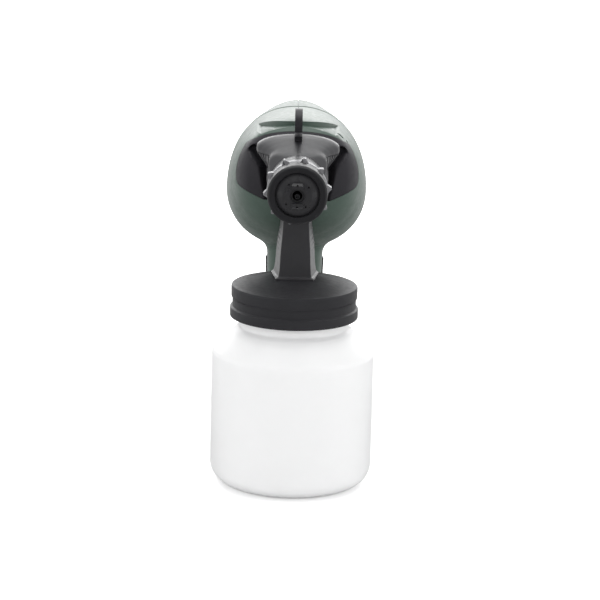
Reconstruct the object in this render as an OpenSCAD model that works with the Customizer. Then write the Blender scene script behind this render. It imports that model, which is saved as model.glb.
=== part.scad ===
// Handheld HVLP paint spray gun with a screw-on paint container.
// Millimetres. The container stands on Z = 0 about the Z axis and the nozzle points to -Y.
// The handle's foot stands on Z = 0 too, behind the container.

/* [Container] */
// Outer radius of the container
container_r = 49.8; // [46:0.1:60]
// Height of the container's straight side
side_h = 82; // [68:0.5:100]
// Height of the cone between the side and the neck
shoulder_h = 14.5; // [11:0.5:18]
// Outer radius of the threaded neck
neck_r = 33.6; // [28:0.1:36]
// Height of the neck above the cone
neck_h = 22.5; // [20:0.5:27]
// Wall thickness of the container
container_wall = 2; // [1.2:0.1:3]
// Radius of the round edge between the floor and the side
floor_edge_r = 12; // [6:0.5:16]
// Rise of the container's thread in one turn
thread_pitch = 4; // [3.6:0.1:4.8]
// Turns of thread in mesh
thread_turns = 1.25; // [1:0.05:1.5]

/* [Lid] */
// Wall thickness of the lid's skirt
lid_wall = 3.6; // [3:0.1:4.5]
// Height of the lid from its lower edge to its rim
lid_h = 19.5; // [17:0.5:21]
// Rise of the lid's dome from the rim to the column
dome_h = 5; // [4:0.5:7]

/* [Spray head] */
// Height of the nozzle axis above the lid's rim
head_h = 68.3; // [62:0.1:80]
// Outer radius of the barrel
barrel_r = 16.3; // [15:0.1:18]
// Length of the barrel and nozzle in front of the container's axis
nozzle_reach = 70; // [62:0.5:82]
// Half width of the head's hood at its widest
hood_half_w = 25.3; // [22:0.1:29]
// Radius of the opening in the hanging hook
hook_r = 6.5; // [5.5:0.1:7.5]
// Radius of the suction tube
tube_r = 4; // [3:0.1:4.8]
// Travel of a release latch when it is pressed in
latch_travel = 1.8; // [1:0.1:1.9]

/* [Housing] */
// Half width of the motor housing at its widest
body_half_w = 45; // [42:0.5:54]
// Wall thickness of the housing
housing_wall = 2.2; // [1.8:0.1:2.6]
// Place of the seam between the housing and the rear cap, along Y
seam_y = 114; // [113.9:0.1:114.3]
// Gap that shows at every seam of the housing
seam_gap = 0.3; // [0.2:0.1:0.5]
// Half width of the handle
handle_half_w = 17.5; // [15.5:0.5:21]

/* [Motor and fan] */
// Outer radius of the motor can
motor_r = 21; // [18:0.5:23]
// Radius of the motor shaft
shaft_r = 2.5; // [2:0.1:3]
// Outer radius of the fan
fan_r = 31; // [26:0.5:31.5]
// Number of blades on the fan
fan_blades = 11; // [7:1:15]

/* [Trigger] */
// Full pull of the trigger in degrees
trigger_pull = 12; // [8:1:13]
// Half width of the trigger's blade
trigger_half_w = 8; // [6.5:0.5:8]
// Radius of the pins that the trigger and the rocker turn on
pin_r = 2; // [1.5:0.1:2.5]
// Radius of the power cord that the gland takes
cord_r = 3.6; // [3:0.1:4.2]

/* [Hidden] */

$fn = 64;
mesh_fn = 48;     // sides of a round shape that is kept as a mesh
fit = 0.08;       // radial clearance of a pin or shaft that turns
seat = 0.05;      // gap between two pieces that are fixed together
clear = 0.3;      // gap between two pieces that move past each other
slab = 0.01;      // thickness of a section that a hull starts or ends on
big = 400;        // larger than the whole gun

// Heights that stack up from the floor
shoulder_z = side_h + shoulder_h;
neck_top = shoulder_z + neck_h;
seal_h = 2.4;
lid_ceiling = neck_top + seat + seal_h + seat;
lid_rim = lid_ceiling + 2.5;
lid_bottom = lid_rim - lid_h;
lid_top = lid_rim + dome_h;
nozzle_z = lid_rim + head_h;
motor_z = nozzle_z - 12.3;

// Threads: the ridge stands out from the neck, and the lid's ridge runs half a pitch below it
ridge = 1.5;
lid_bore_r = neck_r + ridge + 0.6;
lid_r = lid_bore_r + lid_wall;
thread_start = neck_top - 10;
spigot_r = 9;

// Stations along the nozzle axis, from the tip back
tip_y = -nozzle_reach;
cap_front = tip_y + 4;
cap_ring_back = cap_front + 12;
ring_back = cap_ring_back + 7;
neck_front = cap_front + 8;
barrel_neck_r = barrel_r - 3.7;
air_r = barrel_neck_r - 2;
boss_front = ring_back + 7;
hood_front = -25;
barrel_step = -10;
barrel_rear_r = barrel_r - 3.3;
hood_back = 5;
boss_r = 7;
packing_y = hood_back + 2;
packing_r = 5;
spigot_back = 20;
coupling_r = 15;

// The needle and its linkage
needle_r = 1.25;
rocker_y = 46;
rocker_z = nozzle_z - 21.3;
push_arm = 18;
rocker_arm = 19;
push_z = rocker_z - rocker_arm;
needle_travel = (nozzle_z - rocker_z) * push_arm / rocker_arm * trigger_pull * PI / 180;
switch_arm = 16;
switch_travel = switch_arm * trigger_pull * PI / 180;
trigger_y = 76;
trigger_z = push_z - push_arm;
rocker_half_t = 2.5;
rocker_hub_half = 7;
rocker_pin_l = 24;
trigger_pin_l = 28;
pin_post_r = pin_r + 2.5;
fork_gap = 0.4;
collar_y = rocker_y + rocker_half_t + fork_gap;
collar_t = 3;
spring_front = collar_y + collar_t + 0.1;
plate_y = 69.2;
plate_t = 3;
spring_back = plate_y - 3.6;

// Motor stations from front to back
can_y = 73;
can_back = can_y + 38;
bell_back = can_back + 4.1;
fan_y = bell_back + 3;
fan_back = fan_y + 12;
shroud_y = fan_back + 1;
filter_y = shroud_y + 7;
filter_t = 9;
cap_back = 152;
cover_r = 30.4;

// Housing outline against Y: half width, top, bottom and widest height about the nozzle axis
width_scale = body_half_w / 45;
half_w_at = [
    [6, 24.5], [8, 28.2], [10, 31], [14, 34], [18, 36], [24, 38.1], [30, 39.5], [40, 41.3], [50, 42.5],
    [62, 43.4], [75, 44], [95, 45], [114, 44.8], [121, 44], [128, 42.5], [134, 40.8], [140, 38.5],
    [148, 35.2], [152, 33.3]
];
top_at = [
    [6, 23.2], [8, 25], [10, 26.2], [14, 28.4], [18, 29.7], [24, 30.5], [30, 30.7], [40, 30.7], [50, 30.2],
    [75, 28.2], [95, 26.2], [114, 23.8], [128, 24], [140, 23.9], [148, 22.7], [152, 21]
];
bottom_at = [
    [6, -24.3], [8, -28.6], [10, -31.3], [14, -35.2], [18, -38.3], [24, -42.2], [30, -45.3], [40, -50.4],
    [50, -54.3], [62, -58.4], [75, -61.3], [95, -63.3], [114, -62.3], [121, -60.8], [128, -58.3],
    [134, -55.8], [140, -52.8], [148, -48.3], [152, -45.6]
];
widest_at = [
    [6, -0.3], [10, -2.3], [18, -5.3], [30, -10.3], [50, -18.3], [75, -24.3], [95, -26.3], [114, -26.3],
    [128, -23.3], [140, -17.3], [148, -13.3], [152, -12.3]
];
front_stations = [6, 8, 10, 14, 18, 24, 30];
main_stations = [40, 50, 62, 75, 95];
rear_stations = [121, 128, 134, 140, 148, 152];

// Handle outline against Z: half width, front and back
grip_low = 28;
grip_high = nozzle_z - 72.3;
handle_top = nozzle_z - 54.3;
handle_levels = [
    0, 7, 13, 32, 60, nozzle_z - 92.3, nozzle_z - 72.3, nozzle_z - 66.3, nozzle_z - 62.3,
    nozzle_z - 58.3, handle_top
];
flare_at = [
    [0, 2], [7, 1.9], [13, 0.4], [32, 0.1], [60, 0], [nozzle_z - 92.3, 0], [nozzle_z - 72.3, 0.4],
    [nozzle_z - 66.3, 0.7], [nozzle_z - 62.3, 2.3], [nozzle_z - 58.3, 6], [handle_top, 11.5]
];
front_at = [
    [0, 87], [7, 87.6], [13, 89.6], [32, 87.2], [60, 83], [nozzle_z - 92.3, 78], [nozzle_z - 72.3, 75.1],
    [nozzle_z - 66.3, 74.3], [nozzle_z - 62.3, 73], [nozzle_z - 58.3, 71.5], [handle_top, 70]
];
back_at = [
    [0, 135], [7, 134], [13, 130.8], [32, 126.6], [60, 121], [nozzle_z - 92.3, 116], [nozzle_z - 72.3, 113],
    [nozzle_z - 66.3, 112.3], [nozzle_z - 62.3, 112.2], [nozzle_z - 58.3, 112.5], [handle_top, 113]
];
handle_wall = 3;
grip_depth = 1.5;
grip_proud = 0.5;
slot_half_w = trigger_half_w + 0.8;
gland_z = 18;
gland_r = cord_r + 2.6;

// Clamshell screws as [Y, Z]
screw_r = 1.4;
screw_head_r = 2.9;
screw_head_x = 12;
screw_tip_x = -9;
screw_post_r = screw_r + 2.2;
screw_places = [
    [61, nozzle_z - 33], [105, nozzle_z + 15.7], [105, nozzle_z - 50], [106, 75], [112, 36]
];

// ---------------------------------------------------------------- shared shapes

// Puts a shape drawn along Z onto a line parallel to Y
module along_y(y, z = nozzle_z) {
    translate([0, y, z]) rotate([-90, 0, 0]) children();
}

// Puts a shape drawn along Z onto a line parallel to X, centred on X = 0
module across(y, z, x = 0) {
    translate([x, y, z]) rotate([0, 90, 0]) children();
}

module disc_y(y0, y1, r, z = nozzle_z) {
    along_y(y0, z) cylinder(h = y1 - y0, r = r);
}

module ring_y(y0, y1, r_out, r_in, z = nozzle_z) {
    difference() {
        disc_y(y0, y1, r_out, z);
        disc_y(y0 - 1, y1 + 1, r_in, z);
    }
}

// Egg-shaped section: half width, top, bottom and the height where it is widest
function egg(w, top, bottom, widest, power = 2.1, steps = 32) = [
    for (i = [0:steps - 1])
        let (a = i * 360 / steps, c = cos(a), s = sin(a))
        [
            w * sign(c) * pow(abs(c), 2 / power),
            widest + (s > 0 ? top - widest : widest - bottom) * sign(s) * pow(abs(s), 2 / power)
        ]
];

function housing_section(y, inset) = egg(
    lookup(y, half_w_at) * width_scale - inset,
    nozzle_z + lookup(y, top_at) - inset,
    nozzle_z + lookup(y, bottom_at) + inset,
    nozzle_z + lookup(y, widest_at)
);

module housing_slab(y, inset) {
    translate([0, y + slab / 2, 0]) rotate([90, 0, 0]) linear_extrude(slab)
        polygon(housing_section(y, inset));
}

// Solid of the housing's outline between the first and last station, moved in by inset
module housing_loft(stations, inset = 0) {
    for (i = [0:len(stations) - 2]) hull() {
        housing_slab(stations[i], inset);
        housing_slab(stations[i + 1], inset);
    }
}

module handle_slab(z, inset) {
    front = lookup(z, front_at) + inset;
    back = lookup(z, back_at) - inset;
    w = handle_half_w + lookup(z, flare_at) - inset;
    middle = (front + back) / 2;
    translate([0, 0, z]) linear_extrude(slab, center = true)
        polygon(egg(w, back, front, middle, 2.4, 28));
}

module handle_loft(inset = 0, levels = handle_levels) {
    for (i = [0:len(levels) - 2]) hull() {
        handle_slab(levels[i], inset);
        handle_slab(levels[i + 1], inset);
    }
}

// Sweeps a flat profile, drawn with X as the radius and Y as the height, along a helix about Z
module helix(pitch, turns, steps) {
    for (i = [0:ceil(turns * steps) - 1]) hull() for (k = [i, i + 1])
        rotate([0, 0, k * 360 / steps]) translate([0, 0, k * pitch / steps])
            rotate([90, 0, 0]) linear_extrude(slab, center = true) children();
}

// ---------------------------------------------------------------- spray head

module hood_slab(y, half_w, top, edge, low_w) {
    low = nozzle_z + 3.7;
    translate([0, y, 0]) rotate([90, 0, 0]) linear_extrude(slab, center = true) polygon([
        [low_w, low], [half_w, nozzle_z + edge - 1.4], [half_w, nozzle_z + edge],
        [half_w * 0.86, nozzle_z + edge + (top - edge) * 0.45],
        [half_w * 0.55, nozzle_z + edge + (top - edge) * 0.85], [0, nozzle_z + top],
        [-half_w * 0.55, nozzle_z + edge + (top - edge) * 0.85],
        [-half_w * 0.86, nozzle_z + edge + (top - edge) * 0.45],
        [-half_w, nozzle_z + edge], [-half_w, nozzle_z + edge - 1.4], [-low_w, low]
    ]);
}

// Saddle-shaped hood over the barrel: place, half width, top, side edge and lower half width
hood_sections = [
    [hood_front, barrel_r + 2.2, 18.7, 9, 15.5], [-18, barrel_r + 3.6, 20.4, 10.5, 15.8],
    [-10, barrel_r + 5.6, 22.2, 12.6, 16.2], [-3, hood_half_w - 1, 23.9, 15.2, 16.8],
    [1, hood_half_w, 24.4, 16.2, 17], [hood_back, hood_half_w, 24.4, 16.2, 17]
];

module hood_loft() {
    for (i = [0:len(hood_sections) - 2]) hull() for (s = [hood_sections[i], hood_sections[i + 1]])
        hood_slab(s[0], s[1], s[2], s[3], s[4]);
}

// Column between the lid and the barrel: height, front and back half widths, front and back
column_sections = [
    [lid_top + seat, 10.6, 14.4, -9.6, 12], [lid_top + 1.5, 9.7, 13.4, -9.1, 11.2],
    [lid_top + 18, 8.9, 11.7, -9, 10.9], [nozzle_z - 27.8, 7.9, 9.9, -8.9, hood_back - 0.2],
    [nozzle_z - 16.3, 13, 15, -9.5, hood_back - 0.7]
];

module column_slab(s) {
    translate([0, 0, s[0]]) linear_extrude(slab, center = true) polygon([
        [-s[1], s[3]], [s[1], s[3]], [s[2], s[3] + 6], [s[2], s[4]], [-s[2], s[4]], [-s[2], s[3] + 6]
    ]);
}

module column_loft() {
    for (i = [0:len(column_sections) - 2]) hull() {
        column_slab(column_sections[i]);
        column_slab(column_sections[i + 1]);
    }
}

// Pocket in the hood's flank for a release latch, on the +X side
latch_x = 14.6;
latch_y = [-9, 1];
latch_z = nozzle_z + 7.4;
latch_h = 5.4;

module latch_pocket() {
    translate([latch_x - latch_travel - clear, latch_y[0] - clear, latch_z - clear])
        cube([30, latch_y[1] - latch_y[0] + 2 * clear, latch_h + 2 * clear]);
}

// Hood, neck and column in one moulding, with the seats of the barrel and the suction tube
module spray_head() color([0.16, 0.16, 0.17]) difference() {
    union() {
        hood_loft();
        translate([-17, -8, nozzle_z - 16.3]) cube([34, hood_back + 7, 21]);
        disc_y(hood_front + 3, hood_back - 2, barrel_r + 2.2);
        disc_y(hood_back - 1, spigot_back, coupling_r);
        column_loft();
        translate([0, 0, lid_ceiling - 4.5]) cylinder(h = lid_top - lid_ceiling + 6, r = spigot_r);
    }
    disc_y(hood_front - 1, barrel_step, barrel_r + seat);
    disc_y(barrel_step - 1, hood_back, barrel_rear_r + seat);
    disc_y(hood_back - 1, spigot_back + 1, coupling_r - 2.5);
    translate([0, 0, lid_ceiling - 6]) cylinder(h = lid_top - lid_ceiling + 9, r = tube_r + seat);
    cylinder(h = nozzle_z - barrel_rear_r, r = 2.5);
    latch_pocket();
    mirror([1, 0, 0]) latch_pocket();
}

// C-shaped loop on the hood that the gun hangs from, open at the front
module hanging_hook() color([0.16, 0.16, 0.17]) {
    hook_y = -4;
    hook_z = nozzle_z + 24.4 + hook_r + 0.3;
    loop_w = 4.5;
    difference() {
        union() {
            across(hook_y, hook_z) cylinder(h = loop_w, r = hook_r + 3.4, center = true);
            translate([-loop_w / 2, hook_y - 6, nozzle_z + 21]) cube([loop_w, 12, 6]);
        }
        across(hook_y, hook_z) cylinder(h = loop_w + 2, r = hook_r, center = true);
        translate([-loop_w, hook_y, hook_z]) rotate([27, 0, 0]) translate([0, -20, -1.4])
            cube([2 * loop_w, 20, 2.8]);
        hood_loft();
        translate([-loop_w, hook_y - 20, 0]) cube([2 * loop_w, 40, nozzle_z + 21.6]);
    }
}

module release_latch() {
    ribs = 4;
    difference() {
        intersection() {
            translate([latch_x, latch_y[0], latch_z])
                cube([30, latch_y[1] - latch_y[0], latch_h]);
            hood_loft();
        }
        for (i = [0:ribs - 1]) translate([latch_x + 2.2 + 1.8 * i, latch_y[0] - 1, latch_z - 1])
            cube([0.8, 2.2, latch_h + 2]);
    }
}

module release_latch_right() color([0.2, 0.2, 0.21]) release_latch();

module release_latch_left() color([0.2, 0.2, 0.21]) mirror([1, 0, 0]) release_latch();

// ---------------------------------------------------------------- nozzle

// Barrel with the air ring round a centre boss, and the paint way that meets the column
module nozzle_barrel() color([0.18, 0.18, 0.19]) difference() {
    union() {
        disc_y(neck_front, ring_back, barrel_neck_r);
        disc_y(ring_back, barrel_step, barrel_r);
        disc_y(barrel_step, hood_back, barrel_rear_r);
        disc_y(hood_back, packing_y + 5, boss_r);
    }
    ring_y(boss_front, -16, air_r, boss_r);
    disc_y(neck_front - 1, boss_front, air_r);
    disc_y(boss_front - 1, packing_y + 6, 2.1);
    disc_y(boss_front - 1, boss_front + 10, 4.5);
    disc_y(packing_y, packing_y + 6, packing_r + seat);
    for (i = [0:5]) rotate_about_nozzle(60 * i) disc_y(-17, hood_back + 1, 2.2, nozzle_z + 9.8);
    translate([0, 0, nozzle_z - barrel_rear_r - 1]) cylinder(h = barrel_rear_r + 1, r = 2.5);
}

module rotate_about_nozzle(a) {
    translate([0, 0, nozzle_z]) rotate([0, a, 0]) translate([0, 0, -nozzle_z]) children();
}

module fluid_nozzle() color([0.78, 0.66, 0.36]) along_y(tip_y) difference() {
    base = boss_front - tip_y;
    rotate_extrude() polygon([
        [0, 0], [1.5, 0], [1.5, 3], [4.6, 19], [6.4, 19], [6.4, base - 1.2], [4.45, base - 1.2],
        [4.45, base + 9], [0, base + 9]
    ]);
    translate([0, 0, -1]) cylinder(h = 6, r = 0.8);
    translate([0, 0, 3]) cylinder(h = 5, r1 = 0.8, r2 = 2.4);
    translate([0, 0, 8]) cylinder(h = base + 4, r = 2.4);
}

module nozzle_seal() color([0.9, 0.9, 0.86])
    ring_y(boss_front - 1.2 + seat, boss_front - seat, 6.2, 4.5 + seat);

// Air cap: a shallow dish with a centre boss, an air gap round the tip and two low horns
module air_cap() color([0.2, 0.2, 0.21]) difference() {
    dish_r = barrel_neck_r + 0.2;
    union() {
        along_y(cap_front) rotate_extrude() polygon([
            [2.9, -2.4], [4.2, -2.4], [6.2, 0.9], [11.4, 0.6], [dish_r, 0.6], [dish_r, 2.6],
            [dish_r + 0.8, 2.6], [dish_r + 0.8, 4.6], [air_r - 0.6, 4.6], [air_r - 0.6, 2.8],
            [6, 2.8], [2.9, 1.6]
        ]);
        for (side = [-1, 1]) translate([0, 0, side * 9]) {
            along_y(cap_front - 2.6) cylinder(h = 4, r1 = 1.1, r2 = 1.9);
        }
    }
    for (side = [-1, 1]) translate([0, 0, side * 9]) disc_y(cap_front - 4, cap_front + 5, 0.6);
    for (a = [45, 135, 225, 315]) rotate_about_nozzle(a)
        disc_y(cap_front - 4, cap_front + 5, 0.5, nozzle_z + 7.4);
}

// Front ring that clamps the air cap to the pattern ring
module cap_ring() color([0.14, 0.14, 0.15]) along_y(cap_front) rotate_extrude() {
    r = barrel_r + 0.9;
    lip_r = barrel_neck_r + 0.35;
    polygon([
        [lip_r, 0.2], [r - 1.6, 0], [r, 1.4], [r, 12], [barrel_neck_r + 2.05, 12],
        [barrel_neck_r + 2.05, 5], [barrel_neck_r + 1.1, 5], [barrel_neck_r + 1.1, 2.5], [lip_r, 2.5]
    ]);
}

// Turning ring with pointed lugs that sets the spray pattern
module pattern_ring() color([0.34, 0.34, 0.36]) difference() {
    r = barrel_r + 2.2;
    lugs = 10;
    lug_start = 84; // degrees from the top
    union() {
        disc_y(cap_ring_back + seat, ring_back - clear, r);
        disc_y(cap_front + 5.2, cap_ring_back + 1, barrel_neck_r + 2);
        for (i = [0:lugs - 1]) rotate_about_nozzle(lug_start + i * 360 / lugs)
            translate([0, cap_ring_back + seat, nozzle_z + r])
            rotate([-90, 0, 0]) linear_extrude(6) polygon([[-2.6, 1], [0, -1.7], [2.6, 1]]);
    }
    disc_y(cap_front, ring_back + 1, barrel_neck_r + fit);
    for (a = [-5, 7]) rotate_about_nozzle(a)
        translate([-0.3, cap_ring_back + 2, nozzle_z + r - 0.5]) cube([0.6, 4, 2]);
}

module needle() color([0.75, 0.76, 0.78]) {
    along_y(tip_y + 0.7) rotate_extrude() polygon([
        [0, 0], [0.6, 0], [0.6, 2.3], [needle_r, 4.8], [needle_r, spring_back - 1 - tip_y - 0.7],
        [0, spring_back - 1 - tip_y - 0.7]
    ]);
    ring_y(collar_y, collar_y + collar_t, 4, needle_r - slab);
}

module needle_seal() color([0.92, 0.92, 0.9])
    ring_y(packing_y + seat, packing_y + 2.5, packing_r, needle_r + fit);

module packing_nut() color([0.72, 0.73, 0.75]) difference() {
    union() {
        disc_y(packing_y + 2.55, packing_y + 5, packing_r);
        along_y(packing_y + 5 + seat) cylinder(h = 3, r = 6.6, $fn = 6);
        disc_y(packing_y + 4.9, packing_y + 5.2, packing_r);
    }
    disc_y(packing_y, packing_y + 10, needle_r + 0.4);
}

module needle_spring() color([0.7, 0.71, 0.73]) {
    wire_r = 0.45;
    coil_r = 3;
    turns = 5;
    length = spring_back - spring_front - 2 * wire_r - 0.1;
    along_y(spring_front + wire_r) helix(length / turns, turns, 10)
        translate([coil_r, 0]) circle(r = wire_r, $fn = 5);
}

module spring_cap() color([0.2, 0.2, 0.21]) difference() {
    union() {
        disc_y(spring_back, plate_y - seat, 5);
        disc_y(plate_y - 0.1, plate_y + plate_t, 4);
    }
    disc_y(spring_back - 2, spring_back - 1 + needle_travel + 0.6, needle_r + 0.4);
}

// ---------------------------------------------------------------- container and lid

module lid_ridge() {
    polygon([
        [lid_bore_r + 0.3, -1.2], [lid_bore_r - ridge, -0.5], [lid_bore_r - ridge, 0.5],
        [lid_bore_r + 0.3, 1.2]
    ]);
}

module neck_ridge() {
    polygon([[neck_r - 0.3, -1.2], [neck_r + ridge, -0.5], [neck_r + ridge, 0.5], [neck_r - 0.3, 1.2]]);
}

module container_lid() color([0.16, 0.16, 0.17]) {
    difference() {
        union() {
            rotate_extrude($fn = mesh_fn) polygon([
                [0, lid_ceiling], [0, lid_top], [14, lid_top], [17, lid_top - 0.9],
                [25, lid_rim + 1.9], [lid_r - 3, lid_rim + 0.4],
                [lid_r - 1, lid_rim], [lid_r - 0.7, lid_rim - 1], [lid_r - 0.7, lid_rim - 7],
                [lid_r - 1.3, lid_rim - 7.8], [lid_r - 1.3, lid_bottom + 6.8],
                [lid_r, lid_bottom + 6], [lid_r, lid_bottom], [lid_bore_r, lid_bottom],
                [lid_bore_r, lid_ceiling]
            ]);
        }
        translate([0, 0, lid_ceiling - 1]) cylinder(h = lid_top, r = spigot_r + seat);
    }
    translate([0, 0, thread_start - thread_pitch / 2]) helix(thread_pitch, thread_turns, 20) lid_ridge();
}

module lid_nut() color([0.2, 0.2, 0.21]) difference() {
    translate([0, 0, lid_ceiling - 4.4]) cylinder(h = 4.4 - seat, r = 13, $fn = 6);
    translate([0, 0, lid_ceiling - 6]) cylinder(h = 8, r = spigot_r + seat);
}

module container_seal() color([0.75, 0.75, 0.72]) translate([0, 0, neck_top + seat]) difference() {
    cylinder(h = seal_h, r = neck_r + 0.9);
    translate([0, 0, -1]) cylinder(h = seal_h + 2, r = neck_r - container_wall - 2);
}

module container() color([0.95, 0.95, 0.94]) {
    inner_r = container_r - container_wall;
    inner_edge = floor_edge_r - container_wall;
    neck_base_r = neck_r + 2.4;
    rotate_extrude($fn = mesh_fn) polygon(concat(
        [[0, 0]],
        [for (a = [-90:15:0])
            [container_r - floor_edge_r + floor_edge_r * cos(a), floor_edge_r + floor_edge_r * sin(a)]],
        [
            [container_r, side_h], [container_r - 1, side_h + 2.2], [neck_base_r + 1.5, shoulder_z - 1.4],
            [neck_base_r, shoulder_z], [neck_base_r, shoulder_z + 0.8], [neck_r, shoulder_z + 2],
            [neck_r, neck_top], [neck_r - container_wall, neck_top],
            [neck_r - container_wall, shoulder_z - 1.6], [inner_r - 0.8, side_h + 1.2],
            [inner_r, side_h - 1]
        ],
        [for (a = [0:-15:-90])
            [inner_r - inner_edge + inner_edge * cos(a), floor_edge_r + inner_edge * sin(a)]],
        [[0, container_wall]]
    ));
    translate([0, 0, thread_start]) helix(thread_pitch, thread_turns, 20) neck_ridge();
}

module suction_tube() color([0.85, 0.86, 0.86]) difference() {
    translate([0, 0, 8]) cylinder(h = lid_top + 2.9 - 8, r = tube_r);
    translate([0, 0, 7]) cylinder(h = lid_top + 6, r = tube_r - 1);
    translate([0, 0, 8]) rotate([30, 0, 0]) translate([0, 0, -10]) cube([40, 40, 20], center = true);
}

// ---------------------------------------------------------------- housing

// Outline of the front mask seen from the front, grown by a margin
mask_outline = [
    [0, 25.2], [12, 24.4], [22, 21.8], [30, 17.4], [35.2, 11.6], [37.6, 4], [37.6, -10.4], [20, -16.7],
    [-20, -16.7], [-37.6, -10.4], [-37.6, 4], [-35.2, 11.6], [-30, 17.4], [-22, 21.8], [-12, 24.4]
];
mask_depth = 34;
mask_wall = 2.4;

module mask_prism(margin) {
    translate([0, mask_depth, nozzle_z]) rotate([90, 0, 0]) linear_extrude(mask_depth)
        offset(delta = margin) scale([width_scale, 1]) polygon(mask_outline);
}

module front_mask() color([0.18, 0.18, 0.19]) difference() {
    intersection() {
        housing_loft(concat(front_stations, [40]));
        mask_prism(0);
    }
    housing_loft([for (y = concat(front_stations, [40])) y + mask_wall], mask_wall);
    translate([-big / 2, mask_depth - 2, 0]) cube(big);
    disc_y(0, mask_depth, coupling_r + seat);
}

// Posts inside the halves: screw bosses and the bearings of the two linkage pins
module inner_posts() {
    for (p = screw_places) across(p[0], p[1]) cylinder(h = big, r = screw_post_r, center = true, $fn = 24);
    for (side = [-1, 1]) {
        pin_post(trigger_y, trigger_z, side, trigger_half_w + 1);
        pin_post(rocker_y, rocker_z, side, rocker_hub_half + 0.5);
    }
}

module pin_post(y, z, side, start_x) {
    across(y, z, side * (start_x + big / 2)) cylinder(h = big, r = pin_post_r, center = true, $fn = 32);
}

module screw_holes() {
    for (p = screw_places) {
        across(p[0], p[1]) cylinder(h = 40, r = screw_r + seat, center = true, $fn = 24);
        across(p[0], p[1], screw_head_x + big / 2)
            cylinder(h = big, r = screw_head_r + 0.4, center = true, $fn = 24);
    }
    across(trigger_y, trigger_z) cylinder(h = trigger_pin_l + 1, r = pin_r + seat, center = true, $fn = 48);
    across(rocker_y, rocker_z) cylinder(h = rocker_pin_l + 1, r = pin_r + seat, center = true, $fn = 48);
}

// Groove round the rear half of the handle that the grip sits in
module grip_half(grow) {
    low = grip_low - grow;
    high = grip_high + grow;
    front_low = (lookup(grip_low, front_at) + lookup(grip_low, back_at)) / 2 + 2 - grow;
    front_high = (lookup(grip_high, front_at) + lookup(grip_high, back_at)) / 2 + 2 - grow;
    translate([-big / 2, 0, 0]) rotate([90, 0, 90]) linear_extrude(big)
        polygon([[front_low, low], [big, low], [big, high], [front_high, high]]);
}

grip_levels = [grip_low - 8, 30, 60, nozzle_z - 92.3, nozzle_z - 72.3, nozzle_z - 68.3];

module housing_shell() difference() {
    union() {
        housing_loft(concat(front_stations, main_stations, [seam_y]));
        handle_loft();
    }
    difference() {
        union() {
            housing_loft(
                concat([for (y = front_stations) y + mask_wall], main_stations, [seam_y]), housing_wall
            );
            handle_loft(handle_wall, [for (z = handle_levels) max(z, handle_wall)]);
            handle_loft(handle_wall, [handle_top - 8, handle_top, handle_top + 8]);
        }
        inner_posts();
    }
    mask_prism(seam_gap);
    translate([-slot_half_w, 56, 81]) cube([2 * slot_half_w, 30, trigger_z + 4 - 81]);
    screw_holes();
    intersection() {
        difference() {
            handle_loft(-2, grip_levels);
            handle_loft(grip_depth + seat, grip_levels);
        }
        grip_half(0.1);
    }
    disc_y(110, 150, gland_r + seat, gland_z);
    translate([-big / 2, seam_y - seam_gap / 2, handle_top - 14]) cube(big);
}

module half_space(side) {
    translate([side * (big / 2 + seam_gap / 3), big / 4, big / 4]) cube(big, center = true);
}

module housing_left() color([0.34, 0.4, 0.36]) intersection() {
    housing_shell();
    half_space(-1);
}

module housing_right() color([0.34, 0.4, 0.36]) intersection() {
    housing_shell();
    half_space(1);
}

module rear_cap_shell() difference() {
    housing_loft(concat([seam_y], rear_stations));
    housing_loft(concat([seam_y - 1], rear_stations), housing_wall);
    translate([-big / 2, seam_y + seam_gap / 2 - big, 0]) cube(big);
    disc_y(cap_back - 3, cap_back + 1, cover_r + 0.4, motor_z);
}

module rear_cap_left() color([0.34, 0.4, 0.36]) intersection() {
    rear_cap_shell();
    half_space(-1);
}

module rear_cap_right() color([0.34, 0.4, 0.36]) intersection() {
    rear_cap_shell();
    half_space(1);
}

module handle_grip() color([0.12, 0.12, 0.13]) intersection() {
    difference() {
        handle_loft(-grip_proud, grip_levels);
        handle_loft(grip_depth, grip_levels);
        handle_loft(grip_depth, grip_levels);
    }
    grip_half(0);
}

module housing_screws() color([0.6, 0.61, 0.63]) for (p = screw_places) {
    across(p[0], p[1], (screw_tip_x + screw_head_x) / 2)
        cylinder(h = screw_head_x - screw_tip_x + 0.2, r = screw_r, center = true);
    across(p[0], p[1], screw_head_x + 1.1) cylinder(h = 2.1, r = screw_head_r, center = true);
}

// ---------------------------------------------------------------- air intake

module filter_cover() color([0.18, 0.18, 0.19]) difference() {
    union() {
        ring_y(filter_y + 2, cap_back + 0.5, cover_r, cover_r - 1.6, motor_z);
        along_y(cap_back + clear, motor_z) rotate_extrude() polygon([
            [0, 0], [cover_r + 2.4, 0], [cover_r + 2.4, 1.6], [cover_r, 4.2], [cover_r * 0.6, 5.7], [0, 6]
        ]);
    }
    for (i = [-(cover_slots - 1) / 2:(cover_slots - 1) / 2])
        translate([-slot_length(i) / 2, cap_back - 1, motor_z + i * slot_pitch - slot_h / 2])
            cube([slot_length(i), 12, slot_h]);
}

// Air slots across the cover, counted from the middle one
cover_slots = 9;
slot_pitch = 5;
slot_h = 2.4;
function slot_length(i) = 2 * sqrt(pow(cover_r - 5, 2) - pow(i * slot_pitch, 2));

module air_filter() color([0.25, 0.25, 0.26])
    disc_y(filter_y + 0.3, filter_y + 0.3 + filter_t, cover_r - 1.9, motor_z);

module fan_shroud() color([0.2, 0.2, 0.21]) {
    wall_r = fan_r + 2.6;
    eye_r = 14;
    ring_y(fan_y - 1.5, shroud_y + 0.1, wall_r, wall_r - 1.6, motor_z);
    ring_y(shroud_y, shroud_y + 1.6, wall_r, eye_r, motor_z);
    ring_y(shroud_y + 1.5, filter_y, eye_r + 1.6, eye_r, motor_z);
}

// ---------------------------------------------------------------- motor and fan

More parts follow.
